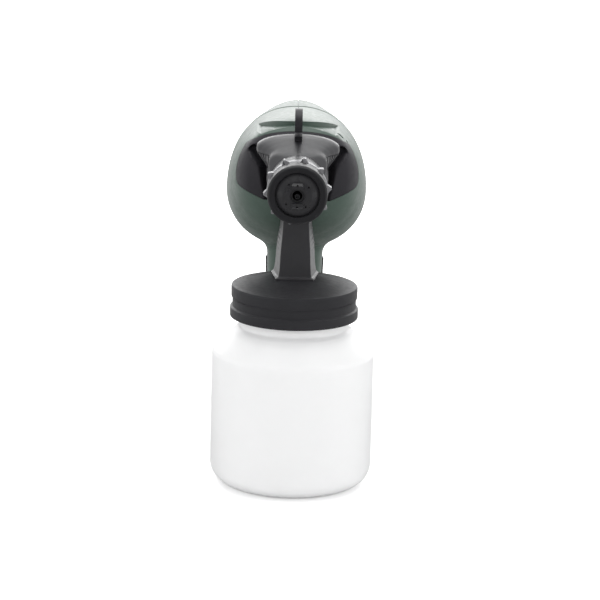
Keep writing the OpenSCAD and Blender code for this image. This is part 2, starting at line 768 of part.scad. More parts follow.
module fan() color([0.22, 0.23, 0.25]) difference() {
    union() {
        disc_y(fan_y, fan_y + 1.5, fan_r, motor_z);
        disc_y(fan_y, fan_y + 9, shaft_r + 3.5, motor_z);
        for (i = [0:fan_blades - 1]) translate([0, 0, motor_z]) rotate([0, i * 360 / fan_blades, 0])
            translate([0, fan_y + 1.4, 9.5]) rotate([0, 35, 0])
                cube([1.2, fan_back - fan_y - 1.4, fan_r - 14]);
    }
    disc_y(fan_y - 1, fan_back + 1, shaft_r + 0.02, motor_z);
}

module motor_shaft() color([0.75, 0.76, 0.78]) disc_y(can_y - 3, fan_y + 9, shaft_r, motor_z);

module rotor_core() color([0.5, 0.5, 0.52]) difference() {
    core_r = motor_r - 7.1;
    disc_y(can_y + 7, can_y + 28, core_r, motor_z);
    disc_y(can_y, can_back, shaft_r + 0.02, motor_z);
    for (i = [0:9]) translate([0, 0, motor_z]) rotate([0, 36 * i, 0])
        translate([-0.8, can_y + 6, core_r - 3]) cube([1.6, 30, 6]);
}

module rotor_winding() color([0.72, 0.42, 0.2]) {
    ring_y(can_y + 3.6, can_y + 7 - seat, motor_r - 8.6, shaft_r + 1.5, motor_z);
    ring_y(can_y + 28 + seat, can_y + 31.6, motor_r - 8.6, shaft_r + 1.5, motor_z);
}

module commutator() color([0.75, 0.48, 0.28]) difference() {
    ring_y(can_y + 31.65, can_y + 38.2, 6.5, shaft_r + 0.02, motor_z);
    for (i = [0:11]) translate([0, 0, motor_z]) rotate([0, 30 * i, 0])
        translate([-0.2, can_y + 30, 6]) cube([0.4, 12, 1]);
}

module motor_can() color([0.62, 0.63, 0.65]) difference() {
    union() {
        disc_y(can_y, can_back, motor_r, motor_z);
        disc_y(can_y - 3.4, can_y + 1, 7, motor_z);
    }
    disc_y(can_y + 1.6, can_back + 1, motor_r - 1.6, motor_z);
    disc_y(can_y - 2.4, can_y + 3, 5 + seat, motor_z);
    disc_y(can_y - 5, can_y + 3, shaft_r + 0.6, motor_z);
}

module magnets() color([0.3, 0.3, 0.32]) difference() {
    ring_y(can_y + 5, can_y + 30, motor_r - 1.6 - seat, motor_r - 6.4, motor_z);
    for (a = [0, 90]) translate([0, 0, motor_z]) rotate([0, 45 + a, 0]) translate([-motor_r, can_y, -2.2])
        cube([2 * motor_r, 34, 4.4]);
}

brush_y = can_y + 33;
brush_half = 2.2;

module end_bell() color([0.2, 0.2, 0.21]) difference() {
    union() {
        disc_y(can_back + seat, bell_back, motor_r, motor_z);
        for (side = [-1, 1]) translate([side * 11.5 - 3.5, brush_y - 0.6, motor_z - 4])
            cube([7, can_back - brush_y + 1, 8]);
    }
    disc_y(can_back - 10, can_back + 0.6, 7.2, motor_z);
    disc_y(can_back, bell_back + 1, 5 + seat, motor_z);
    translate([-16, brush_y - seat, motor_z - brush_half - seat])
        cube([32, 2 * brush_half + 2 * seat, 2 * brush_half + 2 * seat]);
    for (i = [0:5]) translate([0, 0, motor_z]) rotate([0, 60 * i + 30, 0]) translate([0, 0, -motor_z])
        disc_y(can_back, bell_back + 1, 2.6, motor_z + 14);
}

module brushes() color([0.15, 0.15, 0.15]) for (side = [-1, 1])
    translate([side * 10.6 - 3.5, brush_y, motor_z - brush_half]) cube([7, 2 * brush_half, 2 * brush_half]);

module motor_bearings() color([0.7, 0.6, 0.4]) {
    ring_y(can_y - 2.3, can_y + 1.6, 5, shaft_r + fit, motor_z);
    ring_y(can_back + 0.7, bell_back, 5, shaft_r + fit, motor_z);
}

// Bulkhead that holds the motor's front end and the spring cap, cut to the housing's inside
module motor_mount() color([0.3, 0.3, 0.32]) difference() {
    union() {
        intersection() {
            translate([0, plate_y + plate_t, 0]) rotate([90, 0, 0]) linear_extrude(plate_t)
                polygon(housing_section(plate_y, housing_wall + 0.35));
            translate([-big / 2, 0, motor_z - 32]) cube(big);
        }
        ring_y(plate_y + plate_t - 0.1, can_y + 11, motor_r + 2.4, motor_r + seat, motor_z);
    }
    disc_y(plate_y - 1, plate_y + plate_t + 0.6, 7.2, motor_z);
    disc_y(plate_y - 1, plate_y + plate_t + 1, 4 + seat);
    for (a = [-130, -100, -70, 70, 100, 130]) translate([0, 0, motor_z]) rotate([0, a, 0])
        translate([0, 0, -motor_z]) disc_y(plate_y - 1, plate_y + 5, 4.4, motor_z + 29);
}

// ---------------------------------------------------------------- trigger and linkage

function blade_y(z, thickness) = trigger_y - 4.8 - (trigger_z - z - switch_arm) * 0.163 - thickness;

module trigger() color([0.16, 0.16, 0.17]) difference() {
    tip_z = trigger_z - 50;
    arm_y = rocker_y + rocker_half_t + fork_gap + 2.5;
    union() {
        rotate([90, 0, 90]) linear_extrude(2 * trigger_half_w, center = true) polygon([
            [blade_y(trigger_z - 5, 0), trigger_z - 5], [blade_y(trigger_z - 16, 0), trigger_z - 16],
            [blade_y(tip_z, 0), tip_z], [blade_y(tip_z, 6) + 1.5, tip_z - 1.5],
            [blade_y(tip_z, 8.5), tip_z + 1], [blade_y(tip_z, 7.2), tip_z + 7],
            [blade_y(tip_z, 4.4), tip_z + 16], [blade_y(trigger_z - 24, 5.2), trigger_z - 24],
            [blade_y(trigger_z - 14, 6.2), trigger_z - 14],
            [blade_y(trigger_z - 5, 8), trigger_z - 5]
        ]);
        across(trigger_y, trigger_z) cylinder(h = 2 * trigger_half_w, r = pin_r + 3, center = true);
        hull() {
            across(trigger_y - 5, trigger_z) cylinder(h = 10, r = 2.6, center = true, $fn = 32);
            across(trigger_y - 10, trigger_z - 5) cylinder(h = 10, r = 2.6, center = true, $fn = 32);
            across(trigger_y - 2, trigger_z - 5) cylinder(h = 10, r = 2.6, center = true, $fn = 32);
        }
        hull() {
            across(trigger_y, trigger_z) cylinder(h = 8, r = 3.6, center = true, $fn = 32);
            across(arm_y, push_z) cylinder(h = 8, r = 2.5, center = true, $fn = 32);
        }
        disc_y(blade_y(knob_z, 3), blade_y(knob_z, 0) + 1.2, 6.5, knob_z);
    }
    across(trigger_y, trigger_z) cylinder(h = 30, r = pin_r + fit, center = true);
    disc_y(blade_y(knob_z, 3) - 6, blade_y(knob_z, 0) + 4, 2.5 + fit, knob_z);
}

knob_z = trigger_z - 36;

// Screw that limits the pull of the trigger, with a fluted head behind the blade
module flow_knob() color([0.62, 0.62, 0.64]) difference() {
    head_y = blade_y(knob_z, 0) + 1.5;
    flutes = 12;
    union() {
        disc_y(head_y, head_y + 5, 6, knob_z);
        disc_y(blade_y(knob_z, 4.2), head_y + 0.1, 2.5, knob_z);
    }
    for (i = [0:flutes - 1]) translate([0, 0, knob_z]) rotate([0, i * 360 / flutes, 0])
        translate([0, 0, -knob_z]) disc_y(head_y - 1, head_y + 6, 0.8, knob_z + 6.3);
}

module trigger_pin() color([0.75, 0.76, 0.78])
    across(trigger_y, trigger_z) cylinder(h = trigger_pin_l, r = pin_r, center = true);

module rocker_lever() color([0.3, 0.3, 0.32]) difference() {
    tine = 2.6;
    union() {
        across(rocker_y, rocker_z) cylinder(h = 2 * rocker_hub_half, r = pin_r + 2.6, center = true);
        translate([-5, rocker_y - rocker_half_t, push_z - 6.5])
            cube([10, 2 * rocker_half_t, rocker_z - push_z + 6.5]);
        for (side = [-1, 1])
            translate([side * (2 + tine / 2) - tine / 2, rocker_y - rocker_half_t, rocker_z])
                cube([tine, 2 * rocker_half_t, nozzle_z - rocker_z + 1]);
    }
    across(rocker_y, rocker_z) cylinder(h = 20, r = pin_r + fit, center = true);
}

module rocker_pin() color([0.75, 0.76, 0.78])
    across(rocker_y, rocker_z) cylinder(h = rocker_pin_l, r = pin_r, center = true);

plunger_z = trigger_z - switch_arm;
plunger_y = blade_y(plunger_z, 0) + clear;
switch_y = 86;

module switch_body() color([0.2, 0.2, 0.21]) difference() {
    union() {
        translate([-8, switch_y, plunger_z - 9]) cube([16, 14, 18]);
        for (side = [-1, 1]) translate([side * 5 - 1, switch_y + 13.9, plunger_z - 5]) cube([2, 5, 0.8]);
    }
    disc_y(switch_y - 1, switch_y + 4 + switch_travel + 0.6, 2 + fit, plunger_z);
}

module switch_plunger() color([0.7, 0.2, 0.15]) disc_y(plunger_y, switch_y + 4, 2, plunger_z);

module cord_gland() color([0.12, 0.12, 0.13]) difference() {
    wall_back = lookup(gland_z, back_at);
    union() {
        disc_y(wall_back - 9, wall_back - 6, gland_r + 1.4, gland_z);
        disc_y(wall_back - 7, wall_back + 1, gland_r, gland_z);
        along_y(wall_back + 1, gland_z) cylinder(h = 12, r1 = gland_r, r2 = cord_r + 1.2);
    }
    disc_y(wall_back - 10, wall_back + 16, cord_r, gland_z);
}

// ---------------------------------------------------------------- selection

spray_head();
hanging_hook();
nozzle_barrel();
fluid_nozzle();
nozzle_seal();
air_cap();
pattern_ring();
cap_ring();
needle();
needle_seal();
packing_nut();
needle_spring();
spring_cap();
container_lid();
lid_nut();
container_seal();
container();
suction_tube();
front_mask();
housing_left();
housing_right();
rear_cap_left();
rear_cap_right();
filter_cover();
air_filter();
fan_shroud();
fan();
motor_shaft();
rotor_core();
rotor_winding();
commutator();
motor_can();
magnets();
end_bell();
brushes();
motor_bearings();
motor_mount();
switch_body();
switch_plunger();
trigger();
trigger_pin();
rocker_lever();
rocker_pin();
flow_knob();
handle_grip();
cord_gland();
housing_screws();
release_latch_left();
release_latch_right();
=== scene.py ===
"""Looks of the handheld paint spray gun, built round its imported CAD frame."""

import math

import bmesh
import bpy
import numpy as np
from mathutils import Matrix, Vector


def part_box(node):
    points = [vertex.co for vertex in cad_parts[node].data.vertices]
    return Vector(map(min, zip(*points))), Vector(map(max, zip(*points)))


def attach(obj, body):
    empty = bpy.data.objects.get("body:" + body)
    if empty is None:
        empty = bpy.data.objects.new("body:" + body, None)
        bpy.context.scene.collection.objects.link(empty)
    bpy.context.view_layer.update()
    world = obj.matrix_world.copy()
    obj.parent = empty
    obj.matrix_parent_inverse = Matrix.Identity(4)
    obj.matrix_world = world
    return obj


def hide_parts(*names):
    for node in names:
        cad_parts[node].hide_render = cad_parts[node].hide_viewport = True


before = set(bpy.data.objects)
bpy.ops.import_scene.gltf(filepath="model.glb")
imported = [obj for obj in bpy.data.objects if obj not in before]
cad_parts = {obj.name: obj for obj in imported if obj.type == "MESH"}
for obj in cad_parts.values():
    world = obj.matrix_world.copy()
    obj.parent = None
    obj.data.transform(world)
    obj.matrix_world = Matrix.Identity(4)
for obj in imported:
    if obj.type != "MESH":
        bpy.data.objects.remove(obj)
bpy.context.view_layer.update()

MM = 0.001
SEAM = 0.2          # half of the gap that shows at a seam, mm
lid_lo, lid_hi = (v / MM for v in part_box("container_lid"))
ring_lo, ring_hi = (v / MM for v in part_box("pattern_ring"))
cap_lo, cap_hi = (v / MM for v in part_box("cap_ring"))
cover_lo, cover_hi = (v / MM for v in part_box("filter_cover"))
NOZZLE_Z = (ring_lo.z + ring_hi.z) / 2
MOTOR_Z = (cover_lo.z + cover_hi.z) / 2
LID_TOP = lid_hi.z
LID_RIM = LID_TOP - 5

# ------------------------------------------------------------------ materials


def node(tree, kind, inputs=(), **settings):
    n = tree.nodes.new("ShaderNode" + kind)
    for name, value in settings.items():
        setattr(n, name, value)
    for name, value in dict(inputs).items():
        if isinstance(value, bpy.types.NodeSocket):
            tree.links.new(value, n.inputs[name])
        else:
            n.inputs[name].default_value = value
    return n


def noise(tree, scale, detail=3.0, rough=0.55):
    place = node(tree, "TexCoord").outputs["Object"]
    return node(tree, "TexNoise", {"Vector": place, "Scale": scale, "Detail": detail, "Roughness": rough})


def spread(tree, value, low, high):
    """value, from about 0.3 to 0.7, spread between low and high."""
    return node(tree, "MapRange", {
        "Value": value, "From Min": 0.3, "From Max": 0.7, "To Min": low, "To Max": high,
    }).outputs["Result"]


def finish_of(name, color, rough=(0.4, 0.5), vary=0.06, grain=1500, depth=0.02, patch=60, **sockets):
    """Material with a fine moulded grain, patches of slightly uneven gloss and a little colour variation."""
    m = bpy.data.materials.new(name)
    m.use_nodes = True
    t = m.node_tree
    shader = t.nodes["Principled BSDF"]
    large = noise(t, patch)
    mix = node(t, "Mix", data_type="RGBA")
    t.links.new(spread(t, large.outputs["Fac"], 0, 1), mix.inputs["Factor"])
    mix.inputs["A"].default_value = [c * (1 - vary) for c in color] + [1]
    mix.inputs["B"].default_value = [min(1, c * (1 + vary)) for c in color] + [1]
    t.links.new(mix.outputs["Result"], shader.inputs["Base Color"])
    fine = noise(t, grain, 2.0)
    t.links.new(spread(t, noise(t, patch * 6).outputs["Fac"], *rough), shader.inputs["Roughness"])
    bump = node(t, "Bump", {"Height": fine.outputs["Fac"], "Strength": 0.35, "Distance": depth * MM})
    t.links.new(bump.outputs["Normal"], shader.inputs["Normal"])
    for key, value in sockets.items():
        shader.inputs[key.replace("_", " ")].default_value = value
    return m


BLACK = finish_of("satin black plastic", (0.021, 0.0205, 0.0235), (0.36, 0.48), Specular_IOR_Level=0.34)
HEAD = finish_of("head plastic", (0.034, 0.034, 0.037), (0.34, 0.44), Specular_IOR_Level=0.5)
MASK = finish_of("mask plastic", (0.030, 0.029, 0.033), (0.4, 0.5), Specular_IOR_Level=0.14)
LID = finish_of("lid plastic", (0.028, 0.028, 0.031), (0.42, 0.52), Specular_IOR_Level=0.2)
DARK = finish_of("dark grey plastic", (0.014, 0.014, 0.016), (0.38, 0.5), Specular_IOR_Level=0.35)
CAP = finish_of("air cap plastic", (0.022, 0.022, 0.024), (0.26, 0.36))
RING = finish_of("light grey plastic", (0.21, 0.21, 0.22), (0.34, 0.44))
GREEN = finish_of(
    "muted green plastic", (0.070, 0.102, 0.084), (0.34, 0.44), vary=0.04, Specular_IOR_Level=0.3
)
RUBBER = finish_of("soft grip rubber", (0.018, 0.018, 0.019), (0.62, 0.78), grain=2600, depth=0.05)
MILKY = finish_of("milky container plastic", (0.97, 0.975, 0.98), (0.34, 0.44), vary=0.01, depth=0.03)
WHITE = finish_of("white seal", (0.72, 0.72, 0.70), (0.5, 0.6))
STEEL = finish_of("turned steel", (0.5, 0.5, 0.51), (0.22, 0.34), grain=3000, Metallic=1.0)
ZINC = finish_of("zinc plated steel", (0.42, 0.42, 0.41), (0.3, 0.42), grain=2500, Metallic=1.0)
GUN_STEEL = finish_of("dark hardened steel", (0.085, 0.085, 0.09), (0.34, 0.46), grain=3000, Metallic=1.0)
BRASS = finish_of("brass", (0.62, 0.45, 0.2), (0.24, 0.36), grain=2500, Metallic=1.0)
COPPER = finish_of("wound copper", (0.6, 0.26, 0.12), (0.35, 0.5), grain=900, depth=0.3, Metallic=1.0)
IRON = finish_of("dark laminated iron", (0.14, 0.14, 0.15), (0.45, 0.6), grain=800, depth=0.2, Metallic=0.6)
MAGNET = finish_of("magnet ferrite", (0.05, 0.05, 0.055), (0.6, 0.75))
CARBON = finish_of("carbon brush", (0.02, 0.02, 0.02), (0.5, 0.65))
FOAM = finish_of("filter foam", (0.035, 0.036, 0.038), (0.9, 1.0), vary=0.35, grain=700, depth=1.2, patch=700)
RED = finish_of("red button plastic", (0.45, 0.03, 0.02), (0.35, 0.45))
GREY = finish_of("inner grey plastic", (0.07, 0.07, 0.075), (0.42, 0.52))
TUBE = finish_of("clear tube plastic", (0.75, 0.78, 0.78), (0.15, 0.25), vary=0.01)

milk = MILKY.node_tree.nodes["Principled BSDF"]
milk.inputs["Subsurface Weight"].default_value = 0.5
milk.inputs["Subsurface Scale"].default_value = 0.004
milk.inputs["Subsurface Radius"].default_value = (1.0, 1.0, 1.0)

# ------------------------------------------------------------------ mesh tools, in mm


def curve(points):
    """Smooth curve through (place, value) points, held at its ends, for an array of places."""
    t, v = np.array(points, float).T
    h, s = np.diff(t), np.diff(v) / np.diff(t)
    m = np.concatenate([s[:1], np.zeros(len(s) - 1), s[-1:]])
    a, b = 2 * h[1:] + h[:-1], h[1:] + 2 * h[:-1]
    same = s[:-1] * s[1:] > 0
    one, two = np.where(same, s[:-1], 1.0), np.where(same, s[1:], 1.0)
    m[1:-1] = np.where(same, (a + b) / (a / one + b / two), 0.0)

    def at(x):
        i = np.clip(np.searchsorted(t, x) - 1, 0, len(h) - 1)
        u = np.clip((x - t[i]) / h[i], 0, 1)
        return (
            (1 + 2 * u) * (1 - u) ** 2 * v[i] + u * (1 - u) ** 2 * h[i] * m[i]
            + u * u * (3 - 2 * u) * v[i + 1] + u * u * (u - 1) * h[i] * m[i + 1]
        )

    return at


def smin(a, b, k):
    """The lower of two fields, blended over k."""
    h = np.maximum(k - np.abs(a - b), 0) / k
    return np.minimum(a, b) - h * h * k / 4


def smax(a, b, k):
    return -smin(-a, -b, k)


def gradient(field, p, step=0.05):
    """Value and gradient of a field at an array of points."""
    g = np.empty_like(p)
    for k in range(3):
        d = np.zeros(3)
        d[k] = step
        g[:, k] = (field(*(p + d).T) - field(*(p - d).T)) / (2 * step)
    return field(*p.T), g


def surface(field, low, high, step):
    """Closed mesh of the surface where a field is zero: surface nets, moved onto the true surface."""
    axes = [np.arange(a, b + step, step) for a, b in zip(low, high)]
    shape = [len(a) for a in axes]
    value = np.empty(shape)
    for i, x in enumerate(axes[0]):
        value[i] = field(x, axes[1][:, None], axes[2][None, :])
    inside = value < 0
    total = np.zeros([n - 1 for n in shape] + [3])
    count = np.zeros([n - 1 for n in shape])
    corner = np.stack(np.meshgrid(*[a[:-1] for a in axes], indexing="ij"), -1)
    edges = []
    for k in range(3):
        front = [slice(None)] * 3
        back = [slice(None)] * 3
        front[k], back[k] = slice(None, -1), slice(1, None)
        v0, v1 = value[tuple(front)], value[tuple(back)]
        crosses = inside[tuple(front)] != inside[tuple(back)]
        share = np.where(crosses, v0 / np.where(crosses, v0 - v1, 1), 0)
        i, j = [a for a in range(3) if a != k]
        for di in (0, 1):
            for dj in (0, 1):
                pick = [slice(None)] * 3
                pick[i] = slice(di, shape[i] - 1 + di)
                pick[j] = slice(dj, shape[j] - 1 + dj)
                c, s = crosses[tuple(pick)], share[tuple(pick)]
                total[..., k] += c * s
                total[..., i] += c * di
                total[..., j] += c * dj
                count += c
        edges.append((k, i, j, crosses, inside[tuple(front)]))
    used = count > 0
    index = np.full(used.shape, -1)
    index[used] = np.arange(used.sum())
    points = corner[used] + total[used] / count[used][:, None] * step
    quads = []
    for k, i, j, crosses, starts_in in edges:
        pick = [slice(None)] * 3
        pick[i] = slice(1, shape[i] - 1)
        pick[j] = slice(1, shape[j] - 1)
        at = np.argwhere(crosses[tuple(pick)])
        first = starts_in[tuple(pick)][tuple(at.T)]
        at[:, i] += 1
        at[:, j] += 1
        ring = []
        for di, dj in ((0, 0), (-1, 0), (-1, -1), (0, -1)):
            c = at.copy()
            c[:, i] += di
            c[:, j] += dj
            ring.append(index[tuple(c.T)])
        ring = np.stack(ring, 1)
        turn = first if (j - i) % 3 == 1 else ~first
        ring[turn] = ring[turn][:, ::-1]
        quads.append(ring)
    for _ in range(5):
        f, g = gradient(field, points)
        move = -f[:, None] * g / np.maximum((g * g).sum(1), 0.05)[:, None]
        points = points + np.clip(move, -step / 2, step / 2)
    return points, [tuple(q[::-1]) for q in np.concatenate(quads).tolist()]


def revolve(profile, steps=96, start=(0, 0, 0), along="z"):
    """Closed mesh from a closed profile of (radius, height) points, turned about Z or Y."""
    verts, faces, rows = [], [], []
    for r, h in profile:
        n = 1 if r < 1e-6 else steps
        rows.append((len(verts), n))
        for k in range(n):
            a = 2 * math.pi * k / steps
            verts.append((r * math.cos(a), r * math.sin(a), h))
    for (a, na), (b, nb) in zip(rows, rows[1:] + rows[:1]):
        for k in range(steps):
            q = [a + k % na, a + (k + 1) % na, b + (k + 1) % nb, b + k % nb]
            q = [v for i, v in enumerate(q) if v not in q[:i]]
            if len(q) > 2:
                faces.append(tuple(q))
    v = np.array(verts, float)
    if along == "y":
        v = np.stack([v[:, 0], v[:, 2], -v[:, 1]], 1)
    return v + np.array(start, float), faces


def rounded(points, radii, steps=6):
    """Closed outline with each corner rounded: a list of 2-D points and one radius for each, or one for all."""
    pts = [Vector(p) for p in points]
    radii = radii if isinstance(radii, (list, tuple)) else [radii] * len(pts)
    out = []
    for i, (p, r) in enumerate(zip(pts, radii)):
        a, b = pts[i - 1] - p, pts[(i + 1) % len(pts)] - p
        angle = a.angle(b)
        reach = min(r / math.tan(angle / 2), a.length * 0.49, b.length * 0.49) if angle > 1e-3 else 0
        if r <= 0 or reach < 1e-4 or angle > 3.1:
            out.append(tuple(p))
            continue
        s, e = p + a.normalized() * reach, p + b.normalized() * reach
        for k in range(steps + 1):
            u = k / steps
            out.append(tuple(s * (1 - u) ** 2 + p * 2 * u * (1 - u) + e * u * u))
    return out


def prism(outline, axis, low, high):
    """Closed mesh of a flat outline pushed along an axis. Outlines are drawn in (x, z) for Y, (y, z) for X, (x, y) for Z."""
    n = len(outline)
    put = {
        "x": lambda a, b, c: (c, a, b),
        "y": lambda a, b, c: (a, c, b),
        "z": lambda a, b, c: (a, b, c),
    }[axis]
    verts = [put(a, b, c) for c in (low, high) for a, b in outline]
    faces = [tuple(range(n)), tuple(range(2 * n - 1, n - 1, -1))]
    faces += [(i, (i + 1) % n, n + (i + 1) % n, n + i) for i in range(n)]
    return np.array(verts, float), faces


def box(low, high):
    (x0, y0, z0), (x1, y1, z1) = low, high
    return prism([(x0, y0), (x1, y0), (x1, y1), (x0, y1)], "z", z0, z1)


def rod(axis, place, low, high, radius, steps=64, top=None):
    """Closed cylinder or cone along an axis; place holds the other two coordinates."""
    a, b = place
    ring = [(math.cos(2 * math.pi * k / steps), math.sin(2 * math.pi * k / steps)) for k in range(steps)]
    v, f = prism([(a + radius * c, b + radius * s) for c, s in ring], axis, low, high)
    if top is not None:
        w, _ = prism([(a + top * c, b + top * s) for c, s in ring], axis, low, high)
        v[steps:] = w[steps:]
    return v, f


def turned(shape, angle, centre=(0, 0, 0), axis="Y"):
    v, f = shape
    m = np.array(Matrix.Rotation(math.radians(angle), 3, axis))
    return (v - np.array(centre)) @ m.T + np.array(centre), f


def joined(*shapes):
    verts, faces, n = [], [], 0
    for v, f in shapes:
        verts.append(np.asarray(v, float))
        faces += [tuple(i + n for i in q) for q in f]
        n += len(v)
    return np.concatenate(verts), faces


def mirrored(shape):
    v, f = shape
    return v * np.array([-1, 1, 1]), [q[::-1] for q in f]


def solid(name, shape):
    """Object in mm from (vertices, faces), with its normals outwards."""
    me = bpy.data.meshes.new(name)
    me.from_pydata([tuple(v) for v in np.asarray(shape[0], float)], [], [tuple(q) for q in shape[1]])
    bm = bmesh.new()
    bm.from_mesh(me)
    bmesh.ops.recalc_face_normals(bm, faces=bm.faces)
    bm.to_mesh(me)
    bm.free()
    o = bpy.data.objects.new(name, me)
    bpy.context.scene.collection.objects.link(o)
    return o


def drop(o):
    me = o.data
    bpy.data.objects.remove(o)
    bpy.data.meshes.remove(me)


def bake(o):
    """Puts the result of an object's modifiers into its mesh."""
    dg = bpy.context.evaluated_depsgraph_get()
    me = bpy.data.meshes.new_from_object(o.evaluated_get(dg))
    old = o.data
    o.modifiers.clear()
    o.data = me
    bpy.data.meshes.remove(old)
    return o


def carve(o, *cutters, how="DIFFERENCE"):
    for c in cutters:
        tool = c if isinstance(c, bpy.types.Object) else solid("cutter", c)
        m = o.modifiers.new("cut", "BOOLEAN")
        m.operation, m.solver, m.object = how, "MANIFOLD", tool
        bake(o)
        if not isinstance(c, bpy.types.Object):
            drop(tool)
    return o


def copy_of(o, name):
    c = bpy.data.objects.new(name, o.data.copy())
    bpy.context.scene.collection.objects.link(c)
    return c


def smooth(o, field=None, angle=32, near=0.06):
    """Smooth shading up to an angle. On the surface of a field, the normals come from the field itself."""
    me = o.data
    me.shade_smooth()
    me.set_sharp_from_angle(angle=math.radians(angle))
    if field is None:
        return o
    n = len(me.loops)
    normals = np.empty(n * 3, np.float32)
    me.corner_normals.foreach_get("vector", normals)
    normals = normals.reshape(-1, 3).astype(float)
    co = np.empty(len(me.vertices) * 3, np.float32)
    me.vertices.foreach_get("co", co)
    co = co.reshape(-1, 3).astype(float)
    vert = np.empty(n, np.int32)
    me.loops.foreach_get("vertex_index", vert)
    count = np.empty(len(me.polygons), np.int32)
    me.polygons.foreach_get("loop_total", count)
    face = np.repeat(np.arange(len(count)), count)
    centre = np.zeros((len(count), 3))
    np.add.at(centre, face, co[vert])
    centre /= count[:, None]
    flat = np.empty(len(count) * 3, np.float32)
    me.polygons.foreach_get("normal", flat)
    flat = flat.reshape(-1, 3).astype(float)
    p = co[vert] * 0.9 + centre[face] * 0.1
    f, g = gradient(field, p)
    length = np.linalg.norm(g, axis=1)
    g = g / np.maximum(length, 1e-6)[:, None]
    on = (np.abs(f) < near) & (length > 0.2) & ((g * flat[face]).sum(1) > 0.8)
    normals[on] = g[on]
    me.normals_split_custom_set(normals.astype(np.float32).tolist())
    return o


def piece(o, body, material, *nodes, slot=None):
    """Finishes a mesh made in mm: metres, material, the body it rides on and the CAD nodes it stands for."""
    o.data.transform(Matrix.Scale(MM, 4))
    o.data.materials.clear()
    o.data.materials.append(material)
    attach(o, body)
    if nodes:
        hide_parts(*nodes)
    return o


def softened(name, source, body, material, bevel=0.35, slot=None, angle=35):
    """The CAD node's own shape with its edges rounded."""
    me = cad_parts[source].data.copy()
    me.transform(Matrix.Scale(1 / MM, 4))
    bm = bmesh.new()
    bm.from_mesh(me)
    bmesh.ops.remove_doubles(bm, verts=bm.verts, dist=0.002)
    bmesh.ops.dissolve_limit(bm, angle_limit=math.radians(1.5), verts=bm.verts, edges=bm.edges)
    bm.to_mesh(me)
    bm.free()
    o = bpy.data.objects.new(name, me)
    bpy.context.scene.collection.objects.link(o)
    m = o.modifiers.new("edge", "BEVEL")
    m.width, m.segments, m.limit_method, m.angle_limit = bevel, 2, "ANGLE", math.radians(angle)
    m.use_clamp_overlap = True
    bake(o)
    smooth(o, angle=40)
    return piece(o, body, material, source, slot=slot)


# ------------------------------------------------------------------ housing

half_w = curve([
    (5, 22.5), (6, 24.5), (8, 28.2), (10, 31), (14, 34), (18, 36), (24, 38.1), (30, 39.5), (40, 41.3),
    (50, 42.5), (62, 43.4), (75, 44), (95, 45), (114, 44.8), (121, 44), (128, 42.5), (134, 40.8),
    (140, 38.5), (148, 35.2), (152, 33.3),
])
top_at = curve([
    (5, 22.2), (6, 23.2), (8, 25), (10, 26.4), (14, 28.9), (18, 30.2), (24, 30.7), (30, 30.8), (40, 30.7),
    (50, 30.2), (75, 28.2), (95, 26.2), (114, 23.8), (128, 24), (140, 23.9), (148, 22.7), (152, 21),
])
bottom_at = curve([
    (5, -22), (6, -24.3), (8, -28.6), (10, -31.3), (14, -35.2), (18, -38.3), (24, -42.2), (30, -45.3),
    (40, -50.4), (50, -54.3), (62, -58.4), (75, -61.3), (95, -63.3), (114, -62.3), (121, -60.8),
    (128, -58.3), (134, -55.8), (140, -52.8), (148, -48.3), (152, -45.6),
])
widest_at = curve([
    (6, -0.3), (10, -2.3), (18, -5.3), (30, -10.3), (50, -18.3), (75, -24.3), (95, -26.3), (114, -26.3),
    (128, -23.3), (140, -17.3), (148, -13.3), (152, -12.3),
])
flare = curve([
    (0, 2), (7, 1.9), (13, 0.4), (32, 0.1), (60, 0), (NOZZLE_Z - 92.3, 0), (NOZZLE_Z - 72.3, 0.4),
    (NOZZLE_Z - 66.3, 0.7), (NOZZLE_Z - 62.3, 2.3), (NOZZLE_Z - 58.3, 6), (NOZZLE_Z - 54.3, 11.5),
])
handle_front = curve([
    (0, 87), (7, 87.6), (13, 89.6), (32, 87.2), (60, 83), (NOZZLE_Z - 92.3, 78), (NOZZLE_Z - 72.3, 75.1),
    (NOZZLE_Z - 62.3, 73), (NOZZLE_Z - 54.3, 70),
])
handle_back = curve([
    (0, 135), (7, 134), (13, 130.8), (32, 126.6), (60, 121), (NOZZLE_Z - 92.3, 116),
    (NOZZLE_Z - 72.3, 113), (NOZZLE_Z - 62.3, 112.2), (NOZZLE_Z - 54.3, 113),
])
crown_power = curve([(5, 2.1), (114, 2.15), (128, 2.0), (140, 1.85), (152, 1.72)])
HANDLE_HALF = 17.5
SEAM_Y = 114
FRONT_Y = 6
BACK_Y = cover_hi.y - 6.3
WALL = 2.2


def oval(u, v, half_u, half_v, power):
    """Distance from the outline of a superellipse, measured along the ray from its centre."""
    away = np.sqrt(u * u + v * v) + 1e-6
    r = (np.abs(u / half_u) ** power + np.abs(v / half_v) ** power) ** (1 / power) + 1e-9
    return away * (1 - 1 / r)


def egg(x, y, z):
    y = np.clip(y, 5, 152)
    wide = NOZZLE_Z + widest_at(y)
    high = np.where(z > wide, NOZZLE_Z + top_at(y) - wide, wide - NOZZLE_Z - bottom_at(y))
    power = np.where(z > wide, crown_power(y), 2.1)
    return oval(x, z - wide, half_w(y), high, power)


def handle(x, y, z, grow=0.0):
    front, back = handle_front(z) - grow, handle_back(z) + grow
    sides = oval(x, y - (front + back) / 2, HANDLE_HALF + flare(z) + grow, (back - front) / 2, 2.4)
    return smax(sides, z - (NOZZLE_Z - 46), 4)


def body_field(x, y, z):
    dent = 0.75 * np.exp(-(((y - SEAM_Y) / 1.1) ** 2)) * np.clip((z - NOZZLE_Z + 66) / 4, 0, 1)
    ball = smax(egg(x, y, z) + dent, y - BACK_Y, 3)
    ball = np.maximum(ball, FRONT_Y - y)
    return smax(smin(ball, handle(x, y, z), 3), -z, 1.2)


